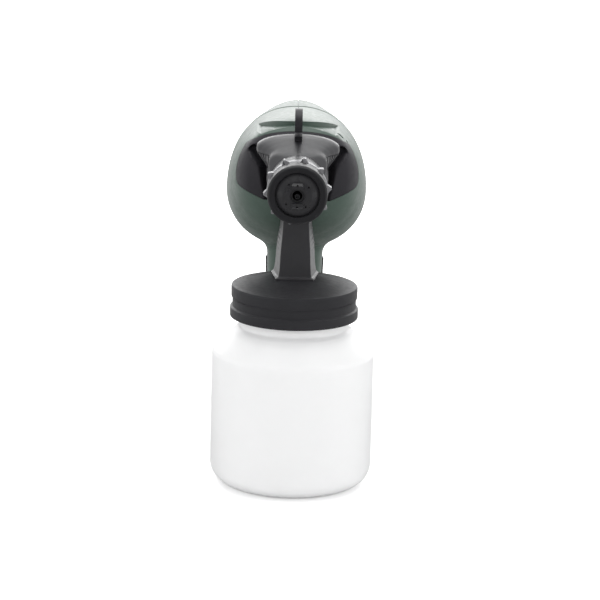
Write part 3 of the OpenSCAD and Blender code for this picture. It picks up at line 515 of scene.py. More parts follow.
def inner_field(x, y, z):
    wall = WALL + 2 * np.clip((z - NOZZLE_Z - 8) / 8, 0, 1) * np.clip((64 - y) / 8, 0, 1)
    ball = smax(egg(x, y, z) + wall, y - BACK_Y + WALL, 3)
    ball = np.maximum(ball, FRONT_Y + 2.4 - y)
    return smax(smin(ball, handle(x, y, z, -3), 3), 3 - z, 1.2)


STEP = 0.9
half_box = ((-3, 3, -3), (48, BACK_Y + 3, NOZZLE_Z + 34))


def half_of(field):
    return lambda x, y, z: np.maximum(field(x, y, z), -1 - x)


shell = solid("shell", surface(half_of(body_field), *half_box, STEP))
carve(shell, surface(half_of(inner_field), *half_box, STEP * 1.3))

FAR = 400
seam_half = box((-FAR, -FAR, -FAR), (SEAM * 0.75, FAR, FAR))
carve(shell, seam_half)

# Front mask seen from the front: an arched top, upright sides and a shallow V below, about the nozzle axis
MASK_HALF = 37.5
MASK_TOP = 25
MASK_ARCH = 2.2
MASK_SIDE_FOOT = -10
MASK_V = (20, -17)
MASK_GAP = 0.2
MASK_REACH = 44


def front_y(x, z, deeper=0.0):
    """Where the housing's surface starts, going back along Y."""
    ys = np.linspace(5.2, 44, 389)
    value = egg(x[..., None], ys, z[..., None]) + deeper
    inside = value < 0
    first = np.argmax(inside, -1)
    first = np.where(inside.any(-1), np.maximum(first, 1), len(ys) - 1)
    pick = lambda a, i: np.take_along_axis(a, i[..., None], -1)[..., 0]
    v0, v1 = pick(value, first - 1), pick(value, first)
    share = np.clip(v0 / np.where(np.abs(v0 - v1) < 1e-9, 1, v0 - v1), 0, 1)
    return ys[first - 1] + share * (ys[1] - ys[0])


MASK_BACK = 22.8


def stepped(outline, step):
    """The closed outline with points added no more than a step apart."""
    fine = []
    for (x0, z0), (x1, z1) in zip(outline, outline[1:] + outline[:1]):
        parts = max(1, int(math.hypot(x1 - x0, z1 - z0) / step))
        fine += [(x0 + (x1 - x0) * k / parts, z0 + (z1 - z0) * k / parts) for k in range(parts)]
    return fine


def mask_line():
    """Closed outline in (x, z): the arch from left to right, then the sides and the V."""
    turn = np.linspace(math.pi, 0, 61)
    share = 2 / MASK_ARCH
    arch = [
        (MASK_HALF * math.copysign(abs(math.cos(a)) ** share, math.cos(a)), MASK_TOP * math.sin(a) ** share)
        for a in turn[1:-1]
    ]
    sides = [(MASK_HALF, MASK_SIDE_FOOT), MASK_V, (-MASK_V[0], MASK_V[1]), (-MASK_HALF, MASK_SIDE_FOOT)]
    return rounded(arch + sides, [0] * len(arch) + [5, 1.5, 1.5, 5])


def mask_outline(grow):
    """The mask's outline about the nozzle axis, grown outwards, kept in front of its rear limit."""
    eased = stepped(mask_line(), 0.8)
    flat = np.array(eased)
    scales = np.linspace(0.8, 1, 81)
    xs, zs = flat[:, 0, None] * scales, flat[:, 1, None] * scales
    depths = np.maximum.accumulate(front_y(xs, NOZZLE_Z + zs), axis=1)
    keep = [float(np.interp(MASK_BACK, row, scales)) if row[-1] > MASK_BACK else 1.0 for row in depths]
    eased = [(x * s, z * s) for (x, z), s in zip(eased, keep)]
    out = []
    for i, (x, z) in enumerate(eased):
        a, b = Vector(eased[i - 1]), Vector(eased[(i + 1) % len(eased)])
        t = (b - a).normalized()
        n = Vector((-t.y, t.x))
        out.append((x + grow * n.x, NOZZLE_Z + z + grow * n.y))
    return out


# Ledge under the brow: a step down in the top of the housing, just behind the mask
LEDGE_HALF = 25.5
LEDGE_BACK_Y = 16.5
LEDGE_SWEEP = 37.5
LEDGE_LOW = 27.5
LEDGE_FALL = 5.5
LEDGE_FALL_HALF = 22.5


def ledge_back(x):
    return LEDGE_BACK_Y + LEDGE_SWEEP * (np.abs(x) / LEDGE_HALF) ** 2.5


def ledge_low(x):
    return LEDGE_LOW - LEDGE_FALL * np.minimum(np.abs(x) / LEDGE_FALL_HALF, 1) ** 2


def top_z(x, y):
    """Height of the housing's upper surface."""
    wide = NOZZLE_Z + widest_at(y)
    u = np.clip(np.abs(x) / half_w(y), 0, 0.98)
    return wide + (NOZZLE_Z + top_at(y) - wide) * (1 - u ** 2.1) ** (1 / 2.1)


def ledge_cutter():
    """Room above the ledge: its floor runs level along Y and its back wall bows away from the front."""
    xs = np.linspace(-2, LEDGE_HALF, 56)
    verts, faces = [], []
    for x in xs:
        w = max(x, 0.0)
        floor_z, back = NOZZLE_Z + float(ledge_low(w)), float(ledge_back(w))
        fade = min(1.0, (LEDGE_HALF - w) / 4)
        floor_z = max(floor_z, float(top_z(w, back)) - 3.3 * fade)
        verts += [(x, 4, floor_z), (x, back, floor_z), (x, back + 1.2, NOZZLE_Z + 45), (x, 4, NOZZLE_Z + 45)]
    for i in range(len(xs) - 1):
        a, b = 4 * i, 4 * i + 4
        faces += [(a + k, b + k, b + (k + 1) % 4, a + (k + 1) % 4) for k in range(4)]
    faces += [(3, 2, 1, 0), tuple(4 * len(xs) - 4 + k for k in range(4))]
    return np.array(verts, float), faces


SCREWS = [
    (61, NOZZLE_Z - 33), (105, NOZZLE_Z + 15.7), (105, NOZZLE_Z - 50), (106, 75), (112, 36),
]
GRIP = (28, NOZZLE_Z - 72.3)       # lower and upper edge of the grip
GRIP_PLACE = 2.0                   # the grip starts this far behind the middle of the handle
SLOT_HALF = 8.8
GLAND_Z, GLAND_R = 18, 6.2


def grip_region(grow):
    low, high = GRIP[0] - grow, GRIP[1] + grow
    mid = lambda z: float(handle_front(z) + handle_back(z)) / 2 + GRIP_PLACE - grow
    return prism([(mid(GRIP[0]), low), (FAR, low), (FAR, high), (mid(GRIP[1]), high)], "x", -FAR, FAR)


def grip_sleeve(outside, inside, step):
    """Sleeve round the handle between two distances from its surface."""
    def tube(grow, past):
        low, high = GRIP[0] - past, GRIP[1] + past
        return surface(
            lambda x, y, z: np.maximum(handle(x, y, z, grow), np.maximum(low - z, z - high)),
            (-24, 60, low - 3), (24, 140, high + 3), step,
        )
    return carve(solid("sleeve", tube(outside, 4)), tube(inside, 8))


main = copy_of(shell, "main")
carve(main, box((-FAR, SEAM_Y - SEAM, NOZZLE_Z - 68.3), (FAR, FAR, FAR)))
groove = grip_sleeve(2, -1.6, STEP)
carve(groove, grip_region(0.15), how="INTERSECT")
carve(
    main,
    prism(mask_outline(MASK_GAP), "y", -20, MASK_REACH),
    ledge_cutter(),
    box((-SLOT_HALF, 56, 81), (SLOT_HALF, 86, NOZZLE_Z - 54.3)),
    rod("y", (0, GLAND_Z), 110, 150, GLAND_R + 0.05),
    groove,
)
drop(groove)
left = solid("housing_left_shell", mirrored(
    (np.array([v.co for v in main.data.vertices]), [tuple(f.vertices) for f in main.data.polygons])
))


def tongue(start, end):
    """Strip under the top seam, joined to the left half, that closes the gap from inside."""
    ys = np.linspace(start, end, 24)
    upper = [(y, NOZZLE_Z + float(top_at(y)) - 0.9) for y in ys]
    lower = [(y, z - 1.5) for y, z in upper[::-1]]
    return prism(upper + lower, "x", -0.8, 0.6)


carve(left, tongue(22, SEAM_Y - 1), how="UNION")
posts = solid("posts", joined(*[rod("x", p, 5, 50, 3.6, 40) for p in SCREWS]))
whole = solid("whole", surface(half_of(body_field), *half_box, STEP))
SCREW_HEAD_R = 3.3
SCREW_HOLE_R = 1.45
carve(posts, whole, how="INTERSECT")
carve(main, posts, how="UNION")
carve(
    main,
    joined(*[rod("x", p, 12, 60, SCREW_HEAD_R, 40) for p in SCREWS]),
    joined(*[rod("x", p, 0, 13, SCREW_HOLE_R, 32) for p in SCREWS]),
)
for x, z, angle, half, deep in ((26, 21, 38, 2.4, 1.2), (30, 17, 44, 1.0, 1.0)):
    slot = prism(rounded([(-half, -deep), (half, -deep), (half, deep), (-half, deep)], 0.8, 3), "z", -1.6, 4)
    slot = turned(slot, angle)
    y = float(front_y(np.array([x]), np.array([NOZZLE_Z + z]))[0])
    carve(main, (slot[0] + np.array([x, y, NOZZLE_Z + z]), slot[1]))
drop(posts)
drop(whole)
main.name = "housing_right_shell"
for o, side in ((left, "left"), (main, "right")):
    smooth(o, body_field)
    piece(o, "gun", GREEN, "housing_" + side, slot="green_plastic")

cap = copy_of(shell, "rear_cap_right_shell")
carve(
    cap,
    box((-FAR, -FAR, -FAR), (FAR, SEAM_Y + SEAM, FAR)),
    box((-FAR, -FAR, -FAR), (FAR, FAR, NOZZLE_Z - 68.3)),
    rod("y", (0, MOTOR_Z), 148, 160, 30.8, 128),
)
other = solid("rear_cap_left_shell", mirrored(
    (np.array([v.co for v in cap.data.vertices]), [tuple(f.vertices) for f in cap.data.polygons])
))
carve(other, tongue(SEAM_Y + 1, BACK_Y - 2.5), how="UNION")
for o, side in ((other, "left"), (cap, "right")):
    smooth(o, body_field)
    piece(o, "gun", GREEN, "rear_cap_" + side, slot="green_plastic")
drop(shell)

# Grip: a rubber sleeve on the back of the handle with shallow ribs across it


def grip_field(grow):
    def field(x, y, z):
        rib = 0.35 * np.clip(np.cos((z - GRIP[0]) * 2 * math.pi / 5.5) * 2 - 0.6, 0, 1)
        edge = np.minimum(z - GRIP[0], GRIP[1] - z)
        rib = rib * np.clip((edge - 8) / 3, 0, 1) * np.clip(
            (y - (handle_front(z) + handle_back(z)) / 2 - 8) / 3, 0, 1
        )
        body = handle(x, y, z, grow) + rib
        return np.maximum(body, np.maximum(GRIP[0] - 4 - z, z - GRIP[1] - 4))
    return field


grip_step = 0.8
grip = solid(
    "rubber_grip", surface(grip_field(1.0), (-24, 60, GRIP[0] - 7), (24, 140, GRIP[1] + 7), grip_step)
)
carve(
    grip,
    surface(
        lambda x, y, z: np.maximum(handle(x, y, z, -1.5), np.maximum(GRIP[0] - 8 - z, z - GRIP[1] - 8)),
        (-24, 60, GRIP[0] - 11), (24, 140, GRIP[1] + 11), grip_step,
    ),
)
carve(grip, grip_region(0), how="INTERSECT")
smooth(grip, grip_field(1.0))
piece(grip, "gun", RUBBER, "handle_grip", slot="grip_rubber")

# ------------------------------------------------------------------ mask


def step_up(a, low, high):
    u = np.clip((a - low) / (high - low), 0, 1)
    return u * u * (3 - 2 * u)


# Fold between the mask's cheek and the hollow beside the head: it leans outwards, then flares under the ear
FOLD_HALF = 19.5
FOLD_FOOT = -16
FOLD_LEAN = 0.2
FOLD_FLARE = 5.8
EAR_ROOF = 16
HOLLOW_DEPTH = 9


def fold(z):
    """Half width of the fold at a height above the nozzle axis."""
    return FOLD_HALF + FOLD_LEAN * np.maximum(z - FOLD_FOOT, 0) + FOLD_FLARE * step_up(z, 2, 14)


def hollow(x, z):
    """Depth of the dark hollow beside the head."""
    z = z - NOZZLE_Z
    w = np.abs(x)
    beside = step_up(fold(z) - w, -1.2, 4.2)
    ear_roof = step_up(EAR_ROOF - 0.18 * (w - 26) ** 2 * (w > 26) - z, -0.3, 1.6)
    return HOLLOW_DEPTH * beside * ear_roof


RINGS = 46
rim = np.array(mask_outline(0))
angle = np.arctan2(rim[:, 1] - NOZZLE_Z, rim[:, 0])
hub = np.stack([15.1 * np.cos(angle), NOZZLE_Z + 15.1 * np.sin(angle)], 1)
t = np.linspace(0, 1, RINGS)[:, None, None]
t = t ** 0.9
flat = hub[None] * (1 - t) + rim[None] * t
mx, mz = flat[..., 0], flat[..., 1]
ys = front_y(mx, mz) + 0.05
edge_in = np.linalg.norm(flat - rim[None], axis=-1)
ys = np.where(ys < 28, np.minimum(ys + hollow(mx, mz), 28), ys)
thick = 2.4 + 6 * np.clip(1 - edge_in / 5, 0, 1)
front = np.stack([mx, ys, mz], -1)
back = np.stack([mx, ys + thick, mz], -1)
count = len(rim)
verts = np.concatenate([front.reshape(-1, 3), back.reshape(-1, 3)])
faces = []
at = lambda layer, i, k: layer * RINGS * count + i * count + k % count
for i in range(RINGS - 1):
    for k in range(count):
        q = (at(0, i, k), at(0, i, k + 1), at(0, i + 1, k + 1), at(0, i + 1, k))
        faces += [q, tuple(v + RINGS * count for v in q[::-1])]
for i in (0, RINGS - 1):
    faces += [(at(0, i, k), at(0, i, k + 1), at(1, i, k + 1), at(1, i, k)) for k in range(count)]
mask = smooth(solid("front_mask_skin", (verts, faces)), angle=45)
piece(mask, "gun", MASK, "front_mask", slot="black_plastic")

# ------------------------------------------------------------------ spray head

hood_w = curve([(-25, 17.5), (-15, 17.7), (-10, 19.6), (-6, 22.3), (-2, 24.8), (1, 25.3), (5, 25.3)])
hood_top = curve([(-25, 16.0), (-18, 18.8), (-10, 21.7), (-3, 23.8), (1, 24.6), (5, 24.4)])
hood_edge = curve([(-25, 8.4), (-18, 10.3), (-10, 13.2), (-3, 15.2), (1, 16.2), (5, 16.2)])
sleeve_r = curve([(-25, 16.0), (-19, 17.4), (-12, 18.5), (3, 18.5)])
hood_low = curve([(-25, 16.2), (-10, 16.6), (-3, 17.2), (5, 17.4)])
COLUMN_LOW, COLUMN_MID, COLUMN_HIGH = LID_TOP, LID_TOP + 18, NOZZLE_Z - 27.8
column_front_w = curve([
    (COLUMN_LOW, 12.4), (COLUMN_LOW + 2.2, 9.9), (COLUMN_MID, 8.9), (COLUMN_HIGH, 7.9), (NOZZLE_Z - 14, 8.6),
])
column_back_w = curve([
    (COLUMN_LOW, 15.6), (COLUMN_LOW + 2.4, 13.3), (COLUMN_MID, 11.7), (COLUMN_HIGH, 9.9), (NOZZLE_Z - 14, 11),
])
column_front = curve([(COLUMN_LOW, -11.6), (COLUMN_LOW + 2.2, -9.2), (COLUMN_MID, -9), (NOZZLE_Z - 14, -9.3)])
column_back = curve([
    (COLUMN_LOW, 12), (COLUMN_LOW + 1.6, 11.2), (COLUMN_MID, 10.9), (COLUMN_HIGH, 4.8), (NOZZLE_Z - 14, 4.3),
])


def hood(x, y, z):
    z = z - NOZZLE_Z
    w, top, edge, low = hood_w(y), hood_top(y), hood_edge(y), hood_low(y)
    crown = np.where(z > edge, oval(x, z - edge, w, top - edge, 2.0), np.abs(x) - w)
    side = np.abs(x) - low - (w - low) * np.clip((z - 3.7) / (edge - 5.1), 0, 1)
    d = smax(crown, side, 0.8)
    return np.maximum(smax(np.maximum(d, 3.7 - z), -25 - y, 0.5), y - 5)


def column(x, y, z):
    f, b = column_front(z), column_back(z)
    fw, bw = column_front_w(z), column_back_w(z)
    teeth = 0.4 * np.clip(
        np.cos((z - LID_TOP) * 2 * math.pi / 3.3), 0, 1
    ) * (z > LID_TOP + 17) * (z < LID_TOP + 30)
    bw = bw + teeth
    run = np.maximum(b - f, 6)
    slant = (run * (np.abs(x) - fw) - (bw - fw) * (y - f)) / np.sqrt(run ** 2 + (bw - fw) ** 2)
    d = smax(smax(f - y, slant, 0.7), smax(np.abs(x) - bw, y - b, 0.7), 0.7)
    return np.maximum(d, np.maximum(COLUMN_LOW + 0.05 - z, z - NOZZLE_Z + 10))


def head_field(x, y, z):
    away = np.sqrt(x * x + (z - NOZZLE_Z) ** 2)
    sleeve = np.maximum(smax(away - sleeve_r(y), -25 - y, 0.5), y - 3)
    neck = smax(np.abs(x) - 17.2, np.maximum(NOZZLE_Z - 16.3 - z, z - NOZZLE_Z - 8), 3)
    neck = smax(neck, np.maximum(-8 - y, y - 4), 1.5)
    coupling = np.maximum(away - 15, np.maximum(2 - y, y - 20))
    post = np.maximum(np.sqrt(x * x + y * y) - 9, np.maximum(LID_TOP - 12 - z, z - LID_TOP - 2))
    d = smin(smin(hood(x, y, z), sleeve, 2.5), neck, 2)
    swept = (1.3 * (away - 16.2) - 25 - y) / 1.64
    d = smax(d, swept * (z > NOZZLE_Z - 10) - 5 * (z <= NOZZLE_Z - 10), 0.8)
    d = smin(d, column(x, y, z), 5)
    return np.minimum(np.minimum(d, coupling), post)


head_step = 0.65
head_box = ((-28, -28, LID_TOP - 15), (28, 23, NOZZLE_Z + 27))
head = solid("head_moulding", surface(head_field, *head_box, head_step))
LATCH_Y, LATCH_Z, LATCH_H = -12.0, NOZZLE_Z + 5.6, 8.0
latch_room = box((15.2, LATCH_Y - 3, LATCH_Z - 0.3), (40, 0.8, LATCH_Z + LATCH_H + 0.3))
plate = solid("line", box((-0.22, -24.4, NOZZLE_Z + 14), (0.22, -9.5, NOZZLE_Z + 24)))


def under_line(x, y, z):
    sides = np.maximum(np.abs(x) - 2, np.maximum(-24.7 - y, y + 7))
    return np.maximum(hood(x, y, z) + 0.35, np.maximum(sides, NOZZLE_Z + 12 - z))


carve(plate, surface(under_line, (-4, -28, NOZZLE_Z + 9), (4, -4, NOZZLE_Z + 28), 0.5))
carve(
    head,
    plate,
    rod("y", (0, NOZZLE_Z), -30, -10, 16.35, 96),
    rod("y", (0, NOZZLE_Z), -11, 5, 13.05, 96),
    rod("y", (0, NOZZLE_Z), 4, 30, 12.5, 96),
    rod("z", (0, 0), LID_TOP - 20, LID_TOP + 2.95, 4.05, 48),
    rod("z", (0, 0), LID_TOP - 20, NOZZLE_Z - 12, 2.5, 48),
    latch_room,
    mirrored(latch_room),
)
drop(plate)
smooth(head, head_field)
piece(head, "gun", HEAD, "spray_head", slot="black_plastic")


def latch_limit(x, y, z):
    ends = np.maximum(LATCH_Z - 1 - z, z - LATCH_Z - LATCH_H - 1)
    return np.maximum(hood(x, y, z) - 0.2, np.maximum(14 - x, ends))


for side, name in ((1, "right"), (-1, "left")):
    keep = surface(latch_limit, (12, -29, LATCH_Z - 3), (30, 8, LATCH_Z + LATCH_H + 3), 0.5)
    latch = solid("latch", box((17.2, LATCH_Y - 2, LATCH_Z), (40, 0.5, LATCH_Z + LATCH_H)))
    carve(latch, keep, how="INTERSECT")
    for i in range(5):
        y = LATCH_Y + 0.9 + 2.3 * i
        carve(latch, box((float(hood_w(y)) - 1.5, y, LATCH_Z - 1), (40, y + 1.1, LATCH_Z + LATCH_H + 1)))
    if side < 0:
        flip = solid("flip", mirrored((
            np.array([v.co for v in latch.data.vertices]), [tuple(f.vertices) for f in latch.data.polygons],
        )))
        drop(latch)
        latch = flip
    latch.name = "release_latch_" + name + "_key"
    smooth(latch, angle=30)
    piece(latch, "release_latch_" + name, HEAD, "release_latch_" + name, slot="black_plastic")

softened("hook", "hanging_hook", "gun", BLACK, 0.6, slot="black_plastic")

# ------------------------------------------------------------------ nozzle

CAP_Y = cap_lo.y
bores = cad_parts["nozzle_barrel"].data.copy()
bores.transform(Matrix.Scale(1 / MM, 4))
bm = bmesh.new()
bm.from_mesh(bores)
bmesh.ops.remove_doubles(bm, verts=bm.verts, dist=0.002)
bm.to_mesh(bores)
bm.free()
barrel = bpy.data.objects.new("barrel", bores)
bpy.context.scene.collection.objects.link(barrel)
carve(
    barrel, revolve([(13.2, -46.6), (16, -46.6), (16, -39), (13.2, -39)], 96, (0, 0, NOZZLE_Z), "y"),
    how="UNION"
)
carve(barrel, revolve(
    [
        (0, -80), (12.55, -80), (12.55, -46.5), (14.1, -46.5), (14.5, -46.1), (16.8, -25.5), (25, -25),
        (25, 40), (0, 40)
    ],
    128, (0, 0, NOZZLE_Z), "y",
), how="INTERSECT")
smooth(barrel, angle=38)
piece(barrel, "gun", HEAD, "nozzle_barrel", slot="black_plastic")
softened("paint_nozzle", "fluid_nozzle", "gun", GUN_STEEL, 0.12, slot="brass")

ring_r = cap_hi.x + 0.4
ring_profile = rounded(
    [
        (13.1, 0.25), (ring_r - 1.4, 0), (ring_r, 1.6), (ring_r, 11.9), (14.7, 11.9), (14.7, 5), (13.7, 5),
        (13.7, 2.6), (13.1, 2.4)
    ],
    [0.4, 2.2, 1.2, 0.5, 0, 0, 0, 0, 0], 5,
)
clamp = solid("clamp_ring", revolve(ring_profile, 128, (0, CAP_Y, NOZZLE_Z), "y"))
smooth(clamp, angle=40)
piece(clamp, "spray_cap", DARK, "cap_ring", slot="dark_plastic")

cap_profile = rounded(
    [
        (2.9, -0.2), (3.9, -0.2), (4.1, -1.9), (5.2, -1.9), (8.5, -1.0), (11.6, 1.0), (
            12.75, 1.9
        ), (12.75, 2.6),
        (13.5, 2.6), (13.5, 4.6), (10, 4.6), (10, 2.9), (6, 2.9), (2.9, 1.8),
    ],
    [0, 0, 0.3, 0.8, 4, 1.5, 0.3, 0, 0, 0, 0, 0, 0, 0], 5,
)
dish = solid("air_cap_dish", revolve(cap_profile, 96, (0, CAP_Y, NOZZLE_Z), "y"))
for turn in (0, 180):
    horn = solid("horn", prism(
        rounded(
            [(-3.8, 4.3), (3.6, 4.3), (3.0, 7.6), (-3.2, 7.6)], [0.5, 0.5, 1.2, 1.2], 4
        ), "y", CAP_Y - 3.7, CAP_Y + 3,
    ))
    slope = [
        (CAP_Y - 5, 2), (CAP_Y - 5, 14), (CAP_Y + 1.2, 14), (CAP_Y - 2.4, 7.6), (CAP_Y - 3.6, 6.2),
        (CAP_Y - 3.6, 2)
    ]
    carve(horn, prism(slope, "x", -6, 6))
    hole = turned(rod("y", (0, 0), -4, 4, 0.6, 20), -30, axis="X")
    carve(horn, (hole[0] + np.array([0, CAP_Y - 2.2, 5.6]), hole[1]))
    shape = np.array([p.co for p in horn.data.vertices]), [tuple(p.vertices) for p in horn.data.polygons]
    drop(horn)
    spun = turned(shape, turn)
    carve(dish, (spun[0] + np.array([0, 0, NOZZLE_Z]), spun[1]), how="UNION")
for k in range(4):
    a = math.radians(38 + 90 * k)
    carve(dish, rod("y", (8.2 * math.cos(a), NOZZLE_Z + 8.2 * math.sin(a)), CAP_Y - 4, CAP_Y + 5, 0.5, 20))
for low, high in ((7.4, 12.3), (-12.3, -7.4)):
    crease = [(CAP_Y - 6, NOZZLE_Z + low), (CAP_Y - 6, NOZZLE_Z + high), (CAP_Y + 1.5, NOZZLE_Z + high),
              (CAP_Y + 1.5, NOZZLE_Z + (high if high > 0 else low)), (CAP_Y - 1.2, NOZZLE_Z + (low if low > 0 else high))]
    carve(dish, prism(crease, "x", -0.3, 0.3))
smooth(dish, angle=32)
piece(dish, "spray_cap", CAP, "air_cap", slot="black_plastic")

RING_R = 18.0
ring = solid("pattern_ring_body", revolve(
    rounded([(12.68, 5.2), (14.6, 5.2), (14.6, 11.9), (17.4, 12.05), (RING_R, 13.2), (RING_R, 18.1), (17.6, 18.7), (12.68, 18.7)],
            [0, 0, 0, 0.6, 0.9, 0.6, 0.4, 0], 4),
    128, (0, CAP_Y, NOZZLE_Z), "y",
))
for k in range(10):
    lug = prism(rounded([(-2.9, RING_R - 0.9), (2.9, RING_R - 0.9), (0.4, RING_R + 2.1), (-0.4, RING_R + 2.1)], [0, 0, 0.3, 0.3], 3),
                "y", CAP_Y + 12.3, CAP_Y + 17.9)
    lug = turned((lug[0], lug[1]), 84 + 36 * k, (0, 0, 0), "Y")
    carve(ring, (lug[0] + np.array([0, 0, NOZZLE_Z]), lug[1]), how="UNION")
for a, width in ((-27, 0.5), (8, 0.45)):
    tick = box((-width, CAP_Y + 11.5, RING_R - 1.2), (width, CAP_Y + 15.6, RING_R + 2))
    tick = turned(tick, a, (0, 0, 0), "Y")
    carve(ring, (tick[0] + np.array([0, 0, NOZZLE_Z]), tick[1]))
smooth(ring, angle=32)
piece(ring, "spray_cap", RING, "pattern_ring", slot="grey_plastic")

# ------------------------------------------------------------------ lid and container

R = (lid_hi.x - lid_lo.x) / 2
lid_profile = rounded(
    [
        (9.05, LID_TOP), (14, LID_TOP), (18, LID_TOP - 0.9), (26, LID_RIM + 2.2), (R - 2.8, LID_RIM + 0.55),
        (R - 1, LID_RIM), (R - 0.6, LID_RIM - 1.1), (R - 0.7, LID_RIM - 7), (R - 1.4, LID_RIM - 7.9),
        (R - 1.5, lid_lo.z + 6.6), (R, lid_lo.z + 5.8), (R, lid_lo.z), (R - 3.6, lid_lo.z),
        (R - 3.6, LID_TOP - 7.5), (9.05, LID_TOP - 7.5),
    ],
    [0, 3, 8, 14, 4, 0.5, 0.4, 0.8, 0.8, 0.6, 0.7, 0.8, 0.3, 0, 0], 5,
)
lid = solid("lid_moulding", revolve(lid_profile, 160))
carve(lid, box((-0.12, -R - 1, lid_lo.z - 1), (0.12, -R + 0.1, lid_lo.z + 30)))
smooth(lid, angle=38)
piece(lid, "gun", LID, "container_lid", slot="black_plastic")

jar_lo, jar_hi = (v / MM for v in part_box("container"))
JR, TOP = jar_hi.x, jar_hi.z
NECK_R, WALLED = 33.6, 2.0
SIDE, SHOULDER = 82, 96.5
edge = [
    (JR - 12 + 12 * math.cos(math.radians(a)), 12 + 12 * math.sin(math.radians(a))) for a in range(-90, 1, 9)
]
edge_in = [
    (JR - 12 + 10 * math.cos(math.radians(a)), 12 + 10 * math.sin(math.radians(a))) for a in range(0, -91, -9)
]
neck_line = rounded(
    [(JR, 50), (JR, SIDE), (JR - 1, SIDE + 2.2), (NECK_R + 3.9, SHOULDER - 1.4), (NECK_R + 2.4, SHOULDER + 0.2),
     (NECK_R, SHOULDER + 2.0), (NECK_R, TOP), (NECK_R - WALLED, TOP), (NECK_R - WALLED, SHOULDER - 1.6),
     (JR - 2.8, SIDE + 1.2), (JR - 2, SIDE - 1), (JR - 2, 50)],
    [0, 3, 3, 3, 1.5, 1.5, 0.6, 0.6, 2, 3, 3, 0], 6,
)
jar = solid("paint_container", revolve([(0, 0)] + edge + neck_line + edge_in + [(0, 2.0)], 160))
smooth(jar, angle=50)
piece(jar, "container", MILKY, "container", slot="container_plastic")

# ------------------------------------------------------------------ trigger, gland, cover and inner parts

softened("trigger_blade", "trigger", "trigger", BLACK, 0.9, slot="black_plastic")
softened("flow_knob_head", "flow_knob", "flow_knob", ZINC, 0.2, slot="zinc_steel")
softened("gland", "cord_gland", "gun", RUBBER, 0.4, slot="grip_rubber")

COVER_R = cover_hi.x
cover_y = 152.3
face = rounded(
    [(0, 0), (COVER_R, 0), (COVER_R, 1.6), (COVER_R - 2.2, 4.2), (18.5, 5.6), (0, 6)],
    [0, 0.3, 0.8, 2.5, 8, 0], 6,
)
cover = solid("filter_cover_grille", revolve(face, 128, (0, cover_y, MOTOR_Z), "y"))
carve(cover, revolve(
    [
        (COVER_R - 4, -12.2), (COVER_R - 2.4, -12.2), (COVER_R - 2.4, 1), (COVER_R - 4, 1)
    ], 128, (0, cover_y, MOTOR_Z), "y",
), how="UNION")
for i in range(-4, 5):
    half = math.sqrt((COVER_R - 7.4) ** 2 - (5 * i) ** 2)
    ring_of = rounded([(-half, -1.2), (half, -1.2), (half, 1.2), (-half, 1.2)], 1.19, 6)
    v, f = prism([(x, MOTOR_Z + 5 * i + z) for x, z in ring_of], "y", cover_y - 1, cover_y + 12)
    carve(cover, (v, f))
carve(cover, rod("y", (0, MOTOR_Z), cover_y + 5.3, cover_y + 8, 0.1, 12))
smooth(cover, angle=32)
piece(cover, "filter_cover", BLACK, "filter_cover", slot="black_plastic")

kept = {
    "nozzle_seal": WHITE, "needle": GUN_STEEL, "needle_seal": WHITE, "packing_nut": ZINC, "needle_spring": STEEL,
    "spring_cap": GREY, "lid_nut": GREY, "container_seal": WHITE, "suction_tube": TUBE, "air_filter": FOAM,
    "fan_shroud": GREY, "fan": GREY, "motor_shaft": STEEL, "rotor_core": IRON, "rotor_winding": COPPER,
    "commutator": COPPER, "motor_can": ZINC, "magnets": MAGNET, "end_bell": GREY, "brushes": CARBON,
    "motor_bearings": BRASS, "motor_mount": GREY, "switch_body": DARK, "switch_plunger": RED,
    "trigger_pin": STEEL, "rocker_lever": GREY, "rocker_pin": STEEL, "housing_screws": ZINC,
}
for name, material in kept.items():
    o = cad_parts[name]
    o.data.materials.clear()
    o.data.materials.append(material)

# ------------------------------------------------------------------ camera, lights and floor

ELEVATION, AZIMUTH, ROLL = math.radians(13.5), math.radians(-0.4), math.radians(1.5)
DISTANCE = 1.5
TARGET = Vector((0.00355, 0, 0.1144))
back = Vector((
    math.sin(AZIMUTH) * math.cos(ELEVATION), -math.cos(AZIMUTH) * math.cos(ELEVATION), math.sin(ELEVATION),
))
camera_data = bpy.data.cameras.new("camera")
camera_data.lens = 146.9
camera = bpy.data.objects.new("camera", camera_data)
bpy.context.scene.collection.objects.link(camera)
camera.location = TARGET + back * DISTANCE
camera.rotation_mode = "QUATERNION"
look = (-back).to_track_quat("-Z", "Y")
camera.rotation_quaternion = look @ Matrix.Rotation(ROLL, 3, "Z").to_quaternion()
bpy.context.scene.camera = camera


def lamp(name, place, aim, size, power, mirrored_in_gloss=True):
    data = bpy.data.lights.new(name, "AREA")
    data.shape = "RECTANGLE"
    data.size, data.size_y = size
    data.energy = power
    o = bpy.data.objects.new(name, data)
    bpy.context.scene.collection.objects.link(o)
    o.location = place
    o.rotation_mode = "QUATERNION"
    o.rotation_quaternion = (Vector(aim) - Vector(place)).to_track_quat("-Z", "Y")
    o.visible_camera = False
    o.visible_glossy = mirrored_in_gloss
    return o


lamp("top softbox", (0, 0.15, 1.3), (0, 0, 0.1), (1.4, 1.2), 10)
lamp("back softbox", (0, 1.5, 0.75), (0, 0, 0.15), (2.2, 0.9), 18)
lamp("left softbox", (-1.3, -0.5, 0.5), (0, 0, 0.13), (0.6, 1.3), 4.6, False)
lamp("right softbox", (1.3, -0.4, 0.5), (0, 0, 0.13), (0.6, 1.3), 5, False)
lamp("front fill", (0.1, -1.7, 0.75), (0, 0, 0.12), (1.0, 0.8), 8.5, False)

